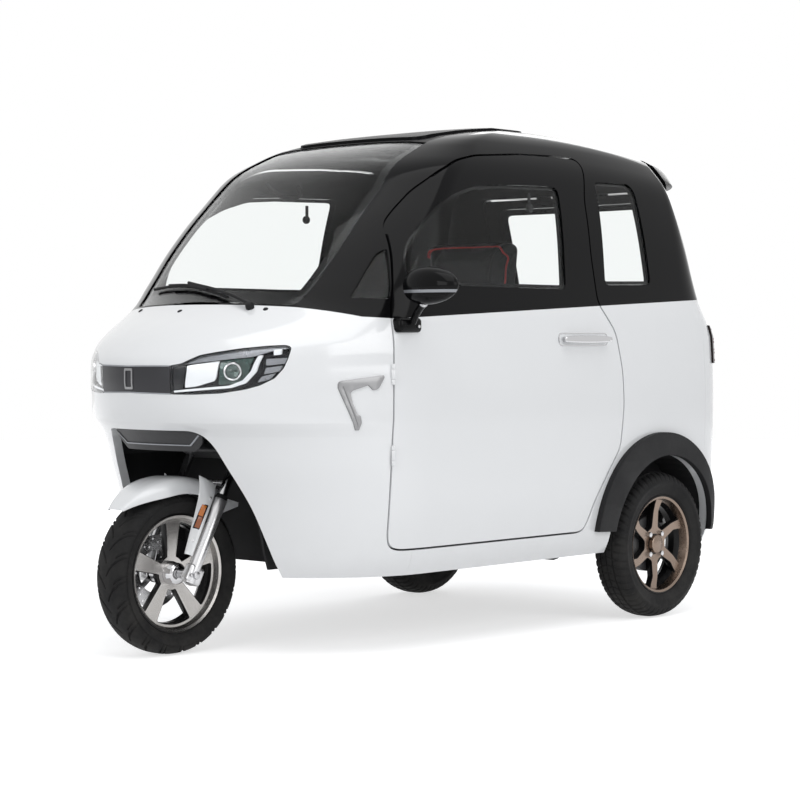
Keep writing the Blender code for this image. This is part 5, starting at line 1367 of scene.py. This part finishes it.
steered(mudguard(), "shown_mudguard", WHITE, 30, "mudguard")
for sign, side in SIDES:
    steered(stay(sign), "mudguard_stay_" + side, WHITE, 30)
    steered(placed(block((0.021, 0.082, 0.005), ORIGIN, 0.0022), stay_frame(0.172, 0.52, sign)),
            "reflector_frame_" + side, MATT_BLACK)
    # The lower half of the reflector is the upper amber with painted shade
    for up, material, label in ((0.191, AMBER, "upper"), (0.153, AMBER_SHADED, "lower")):
        steered(placed(block((0.0155, 0.036, 0.004), (0, 0, 0.0026), 0.0018), stay_frame(up, 0.52, sign)),
                "reflector_{}_{}".format(label, side), material)
    for up, share in ((0.093, 0.5), (0.236, 0.8)):
        steered(placed(rod((0, 0, -0.002), (0, 0, 0.0032), 0.0048, 6, 0.0006), stay_frame(up, share, sign)),
                "stay_bolt_{}_{}".format(int(up * 1000), side), STEEL)
    gusset = side_slab([(0.0, 0.0), (0.062, -0.018), (0.060, -0.030), (0.0, -0.045)], -0.0015, 0.0015)
    steered(placed(gusset, on_fork(0.262, -0.016, sign * 0.094)), "rear_stay_" + side, WHITE, 30)

bar_top = on_fork(BAR_AT + 0.0125)
half = [(0.0, 0.0, 0.0), (0.09, 0.0, 0.0), (0.17, 0.05, 0.03), (0.34, 0.13, 0.02)]
route = [bar_top + Vector(point) for point in [(-x, y, z) for x, y, z in reversed(half[1:])] + half]
steered(tube(route, 0.0108, 5), "shown_handlebar", DARK_STEEL, 40, "handlebar")
for sign, side in SIDES:
    end = bar_top + Vector((sign * 0.34, 0.13, 0.02))
    inward = Vector((-sign * 0.905, -0.42, 0.05)).normalized()
    ribs = [(0.0, 0.0155)]
    for i in range(14):
        ribs += [(start + i * 0.066, r) for start, r in ((0.04, 0.0163), (0.055, 0.0152), (0.085, 0.0152))]
    grip = rounded_rod(end - inward * 0.003, end + inward * 0.122, ribs + [(1.0, 0.0158)])
    steered(grip, "grip_" + side, SOFT_RUBBER)
    steered(placed(block((0.034, 0.036, 0.032), ORIGIN, 0.008), end + inward * 0.145), "switch_box_" + side,
            MATT_BLACK)
    lever = [end + inward * along + Vector((0, y, z)) for along, y, z in
             ((0.150, -0.020, -0.004), (0.10, -0.036, -0.006), (0.03, -0.034, -0.006))]
    steered(tube(lever, 0.0042, 3), "brake_lever_" + side, SILVER)


# Mirror and door handles

def nose_half_width(y, z):
    """The body's half width at a place along its nose."""
    start, power = nose_start_at(z), nose_power_at(z)
    share = max(0.0, (start - y) / (start - nose_at(z)))
    return side_at(z) * (1 - share ** power) ** (1 / power)


def on_door(item, name, material, angle, replaces=()):
    settle(item, name, material, angle, "door_left", replaces)


def mirror():
    """The door mirror: a gloss shell, its glass, a lower trim strip, the arm and its foot."""
    centre, reach = Vector((0.705, -1.325, 1.100)), (0.105, 0.0432, 0.056)
    head = finer(primitive("cube", size=2), 5)
    size = max(vertex.co.x for vertex in head.data.vertices)
    for vertex in head.data.vertices:
        x, y, z = vertex.co / size
        depth = y * reach[1] * (0.55 if y > 0 else 1.0)
        vertex.co = Vector((x * reach[0], depth, z * reach[2] * (1.0 - 0.16 * x))) * 0.985
    glass = copied(placed(head, centre))
    cut(head, block((0.176, 0.020, 0.080), centre + Vector((-0.004, 0.030, 0.0)), 0.018, 4))
    keep(glass, block((0.170, 0.012, 0.074), centre + Vector((-0.004, 0.021, 0.0)), 0.004, 4))
    strip = placed(copied(head), -centre, Matrix.Diagonal((1.010, 1.02, 1.010, 1)), centre)
    keep(strip, block((0.20, 0.060, 0.0085), centre + Vector((0.012, -0.030, -0.017)), 0.001, 2))
    on_door(head, "shown_mirror_left", GLOSS_BLACK, 45, "mirror_left")
    on_door(glass, "mirror_glass", CHROME, 40)
    on_door(strip, "mirror_strip", LAMP_GREY, 45)
    arm = [centre + Vector((-0.020, 0.004, -0.040)), (0.655, -1.306, 1.045), (0.618, -1.292, 1.018),
           (0.598, -1.287, 0.992)]
    on_door(tube(arm, 0.0108, 6), "mirror_arm", GLOSS_BLACK, 40)
    collar = rounded_rod((0.676, -1.315, 1.062), (0.658, -1.308, 1.047),
                         [(0.0, 0.0128), (0.5, 0.0136), (1.0, 0.0128)])
    on_door(collar, "mirror_collar", CHROME, 40)
    foot = block((0.044, 0.098, 0.044), (nose_half_width(-1.285, 0.985) - 0.004, -1.285, 0.985), 0.012, 5)
    on_door(cut(foot, lofted(closed=True)), "mirror_foot", GLOSS_BLACK, 35)
    for y in (-1.312, -1.256):
        x = nose_half_width(y, 0.985) + 0.0165
        screw = rod((x - 0.003, y, 0.981), (x + 0.0022, y, 0.981), 0.0046, 24, 0.0008)
        on_door(screw, "mirror_screw_{}".format(int(-y * 1000)), STEEL, 35)


mirror()

HANDLE_Y, HANDLE_Z = -0.450, 0.943
handle_x = value_at(SIDE, HANDLE_Z)
grip_bar = finer(block((0.0118, 0.234, 0.0258), ORIGIN, 0.0055, 5), 2)
for vertex in grip_bar.data.vertices:
    share = abs(vertex.co.y) / 0.117
    vertex.co.z *= 1.0 - 0.30 * share ** 2.5
    vertex.co.x -= 0.0030 * share ** 3
placed(grip_bar, (handle_x + 0.0240, HANDLE_Y, HANDLE_Z))
posts = [block((0.0262, 0.028, 0.018), (handle_x + 0.0142, HANDLE_Y + end * 0.093, HANDLE_Z), 0.004)
         for end in (-1, 1)]
pair(joined(grip_bar, *posts), "door_handle", CHROME, 40, DOORS, "door_handle")
scoop = keep(skin(-0.0012, 0.004), side_slab(oblong((-0.578, 0.922), (-0.318, 0.964), 0.018), 0.3, 0.8))
cut(scoop, side_slab(oblong((-0.575, 0.925), (-0.321, 0.961), 0.017), 0.2))
pair(scoop, "handle_rim", CHROME, 30, DOORS)
latch = joined(rod((0.496, -0.622, 1.362), (0.508, -0.622, 1.362), 0.014, 32, 0.002),
               block((0.006, 0.012, 0.050), (0.499, -0.622, 1.386), 0.002, 2))
pair(latch, "window_latch", MATT_BLACK, 35, DOORS)
lock = rod((handle_x - 0.004, -0.300, HANDLE_Z), (handle_x + 0.0028, -0.300, HANDLE_Z), 0.0085, 32, 0.001)
pair(lock, "door_lock", CHROME, 30, DOORS)


# Trim on the body: side trim, lip of the wheel bay, bonnet fasteners, wiper and hinges

SIDE_TRIM = [(-1.517, 0.813), (-1.514, 0.819), (-1.506, 0.822), (-1.381, 0.838), (-1.379, 0.831), (-1.396, 0.802),
             (-1.404, 0.796), (-1.415, 0.794), (-1.430, 0.809), (-1.476, 0.794), (-1.484, 0.787), (-1.478, 0.756),
             (-1.466, 0.726), (-1.456, 0.719), (-1.453, 0.700), (-1.458, 0.677), (-1.467, 0.677), (-1.517, 0.801)]
SIDE_TRIM_GROOVE = [(-1.510, 0.806), (-1.504, 0.806), (-1.4615, 0.688), (-1.4645, 0.684)]
trim = keep(skin(-0.0042, 0.007), side_slab(rounded(SIDE_TRIM, 0.0025, 3), 0.3, 0.8))
cut(trim, keep(skin(-0.0060, 0.0034), side_slab(SIDE_TRIM_GROOVE, 0.3, 0.8)))
pair(bevelled(trim, 0.0008, 2, 50), "side_trim", TRIM_SILVER, 35)

lip = [(0.0, 0.612), (0.150, 0.612), (0.182, 0.640), (0.190, 0.673), (0.0, 0.673)]
settle(layer(rounded(both_sides(lip), 0.008), 0.014, 0.004, -1.5), "bay_lip", BAY_BLACK, 30)
edge_line = both_sides([(0.0, 0.632), (0.140, 0.632), (0.178, 0.662), (0.181, 0.660), (0.142, 0.6285),
                        (0.0, 0.6285)])
settle(layer(rounded(edge_line, 0.001, 2), 0.0115, 0.003, -1.5), "bay_lip_edge", LAMP_GREY,
       30)


def plastic(item, name, angle=40, material=MATT_BLACK):
    settle(item, name, material, angle)


for index, (x, z) in enumerate(((0.279, 1.032), (-0.279, 1.032), (-0.030, 1.028))):
    cap = rounded_rod((0, 0, -0.002), (0, 0, 0.0035), [(0.0, 0.0082), (0.5, 0.0080), (0.85, 0.0062)])
    plastic(placed(cap, facing(*nose_point(x, z))), "bonnet_fastener_{}".format(index + 1))


def wiper():
    """The single wiper: its pivot cap, the sprung arm and the blade on the screen."""
    pivot, outwards = nose_point(0.227, 1.036, -0.004)
    cap = rounded_rod((0, 0, -0.012), (0, 0, 0.018), [(0.0, 0.013), (0.6, 0.013), (0.9, 0.010)])
    plastic(placed(cap, facing(pivot, outwards)), "wiper_pivot")
    tip, tip_out = nose_point(-0.085, 1.106, -0.016)
    bend = nose_point(0.130, 1.066, -0.017)[0]
    plastic(tube([pivot + outwards * 0.012, bend, tip], 0.0050), "wiper_arm")
    blade = [nose_point(x, z, -0.0058)[0] for x, z in
             ((-0.290, 1.096), (-0.19, 1.103), (-0.085, 1.101), (0.02, 1.086), (0.118, 1.066))]
    plastic(tube(blade, 0.0046, 3), "wiper_blade", 40, SOFT_RUBBER)
    plastic(tube([point + tip_out * 0.007 for point in blade[1:-1]], 0.0036, 3), "wiper_spine")


wiper()

HINGE_PIN, HINGE_KNUCKLE, HINGE_LENGTH, HINGE_PLAY = 0.003, 0.0064, 0.030, 0.0006


def hinge_rods(place, axis, leaf_body, label, material):
    """Two outer knuckles with their pin, and the leaf's knuckle between them."""
    place, axis = Vector(place), Vector(axis)
    half = HINGE_LENGTH / 2

    def knuckle(low, high, radius=HINGE_KNUCKLE, sides=32, bevel=0.0008):
        return rod(place + axis * low, place + axis * high, radius, sides, bevel)

    outer = joined(knuckle(half + HINGE_PLAY, HINGE_LENGTH), knuckle(-HINGE_LENGTH, -half - HINGE_PLAY),
                   knuckle(-HINGE_LENGTH - 0.001, HINGE_LENGTH + 0.001, HINGE_PIN, 24, 0.0))
    settle(outer, "hinge_holder_" + label, material, 35)
    settle(knuckle(-half, half), "hinge_leaf_" + label, material, 35, leaf_body)


for sign, side in SIDES:
    for label, height in (("low", 0.60), ("high", 0.84)):
        hinge_rods((sign * DOOR_HINGE.x, DOOR_HINGE.y, height), (0, 0, 1), "door_" + side,
                   "door_{}_{}".format(side, label), WHITE)
    hinge_rods((sign * 0.130, HATCH_HINGE.y, HATCH_HINGE.z), (1, 0, 0), "hatch", "hatch_" + side,
               GLOSS_BLACK)


# Seats: each pad swells like stuffed leatherette, then gets its seams, channels and piping

SEAT_TILT = radians(8)
CLOTH_FRAMES = 20
CLOTH_PRESSURE = 4
REST_DEPTH = 0.012
PAD_SHRINK = 0.010
SWELL_LIMIT = 0.024
VOXEL = 0.0058


def upright(place):
    """A backrest's own frame: X across, Y up its face, Z out of its face towards the front."""
    return (Matrix.Translation(Vector(place)) @ Matrix.Rotation(-SEAT_TILT, 4, "X")
            @ Matrix(((1, 0, 0, 0), (0, 0, -1, 0), (0, 1, 0, 0), (0, 0, 0, 1))))


# Each pad: node, size across, along and thick, its place, channel rows, long seams, reach of the channels
PADS = [
    ("driver_cushion", (0.40, 0.44, 0.11), Matrix.Translation((0, -0.685, 0.545)),
     [-0.14, -0.085, -0.03, 0.025, 0.08, 0.135], [-0.125, 0.125], 0.125),
    ("driver_backrest", (0.40, 0.80, 0.10), upright((0, -0.42, 0.495)) @ Matrix.Translation((0, 0.40, 0)),
     [-0.30, -0.24, -0.18, -0.12, -0.06, 0.0, 0.06, 0.12, 0.18], [-0.125, 0.125], 0.125),
    ("rear_cushion", (0.808, 0.36, 0.09), Matrix.Translation((0, -0.10, 0.6454)),
     [-0.11, -0.055, 0.0, 0.055, 0.11], [-0.33, 0.0, 0.33], 0.33),
    ("rear_backrest", (0.808, 0.42, 0.08), upright((0, 0.135, 0.6016)) @ Matrix.Translation((0, 0.21, 0)),
     [-0.14, -0.085, -0.03, 0.025, 0.08, 0.135], [-0.33, 0.0, 0.33], 0.33),
]


def swollen(items):
    """Blow the pads up as stuffed covers, with their resting faces held, and cap how far a point moves."""
    scene = bpy.context.scene
    starts = []
    for item in items:
        rest = item.vertex_groups.new(name="rest")
        low = min(vertex.co.z for vertex in item.data.vertices)
        rest.add([vertex.index for vertex in item.data.vertices if vertex.co.z < low + REST_DEPTH], 1.0, "REPLACE")
        starts.append([vertex.co.copy() for vertex in item.data.vertices])
        cloth = item.modifiers.new("Cloth", "CLOTH")
        cloth.settings.quality = 4
        cloth.settings.use_pressure = True
        cloth.settings.uniform_pressure_force = CLOTH_PRESSURE
        cloth.settings.effector_weights.gravity = 0
        cloth.settings.vertex_group_mass = "rest"
        cloth.collision_settings.use_collision = False
        cloth.point_cache.frame_start = 1
        cloth.point_cache.frame_end = CLOTH_FRAMES
    for number in range(1, CLOTH_FRAMES + 1):
        scene.frame_set(number)
    for item, before in zip(items, starts):
        use(item)
        bpy.ops.object.modifier_apply(modifier="Cloth")
        for vertex, start in zip(item.data.vertices, before):
            moved = vertex.co - start
            if moved.length > SWELL_LIMIT:
                vertex.co = start + moved.normalized() * SWELL_LIMIT
        item.vertex_groups.clear()
    scene.frame_set(1)


def within(item, size):
    """Press a pad back inside the room that its seat gives it."""
    for axis in range(3):
        reach = max(abs(vertex.co[axis]) for vertex in item.data.vertices)
        limit = size[axis] / 2 * 1.015 + 0.004
        if reach > limit:
            for vertex in item.data.vertices:
                vertex.co[axis] *= limit / reach


def held(value):
    return min(1.0, max(0.0, value))


def sewn(item, size, rows, seams, reach):
    """Sink the channels and long seams into the outer face of a pad."""
    for vertex in item.data.vertices:
        x, y, z = vertex.co
        if z < 0:
            continue
        edge = held((size[1] / 2 - 0.035 - abs(y)) / 0.03)
        inside = held((reach + 0.004 - abs(x)) / 0.012)
        sinks = [inside * np.exp(-((y - row) / 0.0075) ** 2) for row in rows]
        sinks += [0.9 * edge * np.exp(-((x - seam) / 0.0060) ** 2) for seam in seams]
        vertex.co.z -= 0.0085 * max(0.0, *sinks) * min(1.0, z / 0.02)


def piping(item, size, margin):
    """A closed loop of piping that follows the border of a pad's outer face."""
    mesh = bmesh.new()
    mesh.from_mesh(item.data)
    tree = BVHTree.FromBMesh(mesh)
    mesh.free()
    wide, long = size[0] / 2 - margin, size[1] / 2 - margin
    loop = [Vector(corner) for corner in oblong((-wide, -long), (wide, long), 0.05, 10)]
    points = []
    for start, end in zip(loop, loop[1:] + loop[:1]):
        count = max(1, int((end - start).length / 0.02))
        for k in range(count):
            x, y = start.lerp(end, k / count)
            hit = tree.ray_cast(Vector((x, y, 0.3)), Vector((0, 0, -1)))[0]
            if hit:
                points.append(hit + Vector((0, 0, 0.0006)))
    return tube(points, 0.0032, 2, True)


pads = [modified(block([value - 2 * PAD_SHRINK for value in pad[1]], ORIGIN, min(pad[1]) * 0.33, 5),
                 "REMESH", mode="VOXEL", voxel_size=VOXEL) for pad in PADS]
swollen(pads)
for pad, (node, size, place, rows, seams, reach) in zip(pads, PADS):
    within(pad, size)
    sewn(finer(pad, 1), size, rows, seams, reach)
    cord = placed(piping(pad, size, 0.030), place)
    settle(placed(pad, place), "shown_" + node, SEAT_BLACK, 80, replaces=node)
    settle(cord, node + "_piping", PIPING_RED, 60)


# Cabin: instruments, vents, pedals, grab handles and the solids that stay as they are

plastic(block((0.215, 0.030, 0.105), (0, -1.432, 0.972), 0.010, 4), "instrument_case", 35)
settle(block((0.185, 0.004, 0.080), (0, -1.4160, 0.972), 0.0018, 2), "instrument_screen", SCREEN_BLACK)
for sign, side in SIDES:
    ring = turned([(0.0, 0.031), (0.009, 0.031), (0.010, 0.034), (0.009, 0.038), (0.0, 0.038)], ORIGIN, 48)
    placed(ring, Matrix.Rotation(radians(90), 4, "Z"), (sign * 0.30, -1.4315, 0.965))
    settle(ring, "vent_ring_" + side, CHROME, 40)
    vanes = [block((0.060 * (1 - 0.35 * abs(k) / 2), 0.006, 0.003),
                   (sign * 0.30, -1.4265, 0.965 + k * 0.011), 0.001, 2) for k in range(-2, 3)]
    plastic(joined(*vanes), "vent_vanes_" + side, 35)
    grab = [(sign * x, y, z) for x, y, z in
            ((0.455, -0.86, 1.475), (0.435, -0.85, 1.445), (0.435, -0.72, 1.440), (0.455, -0.71, 1.470))]
    plastic(tube(grab, 0.0075), "grab_handle_" + side, 50)
settle(block((0.075, 0.11, 0.016), (0, -0.62, 1.594), 0.007, 4), "cabin_lamp", LAMP_GREY, 40)
for index, x in enumerate((0.215, 0.065)):
    ribs = [block((0.054, 0.005, 0.005), (0, 0.0075, -0.028 + k * 0.014), 0.0015, 2) for k in range(5)]
    pedal = joined(block((0.062, 0.012, 0.080), ORIGIN, 0.004), *ribs)
    placed(pedal, Matrix.Rotation(radians(-25), 4, "X"), (x, -1.352, 0.365))
    plastic(pedal, "pedal_{}".format(index + 1), 35, SOFT_RUBBER)
    arm = tube([(x, -1.358, 0.375), (x, -1.388, 0.440), (x, -1.3985, 0.500)], 0.0065, 3)
    settle(arm, "pedal_arm_{}".format(index + 1), DARK_STEEL, 40)

KEPT = {"chassis": DARK_STEEL, "rear_axle": DARK_STEEL, "battery_pack": PACK_GREY, "wheel_housing": MATT_BLACK,
        "wheel_house_left": MATT_BLACK, "wheel_house_right": MATT_BLACK, "dashboard": LINING}
for node, material in KEPT.items():
    solid = bpy.data.objects[node]
    solid.data.materials.clear()
    solid.data.materials.append(material)


# Floor, light and camera

def seen_by_eye(tree):
    """One for what the camera sees, also through glass and in gloss, and none for light on the object."""
    path = add_node(tree, "ShaderNodeLightPath")
    clear = maths(tree, "MAXIMUM", path.outputs["Is Camera Ray"], path.outputs["Is Transmission Ray"])
    return maths(tree, "MAXIMUM", clear, path.outputs["Is Glossy Ray"], True)


def stage_material():
    """White floor that keeps the shadow and runs into the white behind it."""
    material, tree, shader, place = plain_material("studio_floor", **{
        "Roughness": 0.8, "Specular IOR Level": 0.1, "Emission Color": (1.0, 1.0, 1.0, 1.0)})
    shade = add_node(tree, "ShaderNodeTexNoise", Vector=place, Scale=3.0, Detail=4.0)
    paint = blend(tree, shade.outputs[0], (0.80, 0.80, 0.80), (0.78, 0.78, 0.785))
    tree.links.new(paint, shader["Base Color"])
    distance = add_node(tree, "ShaderNodeVectorMath", {"operation": "LENGTH"}, i0=place)
    white = spread(tree, distance.outputs["Value"], 1.2, 4.5, 0.62, 1.0, "SMOOTHSTEP")
    tree.links.new(maths(tree, "MULTIPLY", white, seen_by_eye(tree)), shader["Emission Strength"])
    return material


def studio_world():
    """White to the eye, behind glass and in gloss; softer light on the object itself."""
    world = bpy.data.worlds.new("studio")
    world.use_nodes = True
    tree = world.node_tree
    seen = tree.nodes["Background"]
    seen.inputs["Color"].default_value = (1.0, 1.0, 1.0, 1.0)
    seen.inputs["Strength"].default_value = 1.0
    soft = add_node(tree, "ShaderNodeBackground", Color=(0.95, 0.97, 1.0, 1.0), Strength=0.40)
    sky = add_node(tree, "ShaderNodeMixShader", Fac=seen_by_eye(tree), i1=soft.outputs[0],
                   i2=seen.outputs[0])
    tree.links.new(sky.outputs[0], tree.nodes["World Output"].inputs["Surface"])
    bpy.context.scene.world = world


def soft_box(name, place, target, size, energy):
    light = bpy.data.lights.new(name, "AREA")
    light.shape = "RECTANGLE"
    light.size, light.size_y = size
    light.energy = energy
    item = new_object(name, light)
    item.location = place
    item.rotation_euler = (Vector(target) - Vector(place)).to_track_quat("-Z", "Y").to_euler()


ground = primitive("circle", vertices=96, radius=14, fill_type="NGON")
ground.name = "studio_ground"
ground.data.materials.append(stage_material())
studio_world()
soft_box("key_above", (1.5, -1.2, 4.6), (0, 0, 0.6), (4.0, 4.5), 98)
soft_box("left_side", (5.2, -0.2, 2.4), (0, 0, 0.8), (3.6, 2.6), 66)
soft_box("front_side", (0.8, -6.0, 2.2), (0, 0, 0.7), (3.4, 2.4), 62)
soft_box("rear_rim", (-2.0, 5.0, 2.8), (0, 0, 1.0), (3.0, 2.0), 40)

CAMERA_PLACE = (4.9403, -5.455, 0.942)
CAMERA_AZIMUTH, CAMERA_PITCH = radians(42.30), radians(1.54)
CAMERA_LENS, CAMERA_SENSOR = 100.94, 36
camera = bpy.data.cameras.new("camera")
camera.lens = CAMERA_LENS
camera.sensor_width = CAMERA_SENSOR
view = new_object("camera", camera)
view.location = CAMERA_PLACE
view.rotation_euler = Vector((-sin(CAMERA_AZIMUTH) * cos(CAMERA_PITCH), cos(CAMERA_AZIMUTH) * cos(CAMERA_PITCH),
                              -sin(CAMERA_PITCH))).to_track_quat("-Z", "Y").to_euler()
bpy.context.scene.camera = view
bpy.context.scene.view_settings.view_transform = "Standard"

for spare in (SHELL, PANE, BORDER_SKIN):
    bpy.data.objects.remove(spare, do_unlink=True)
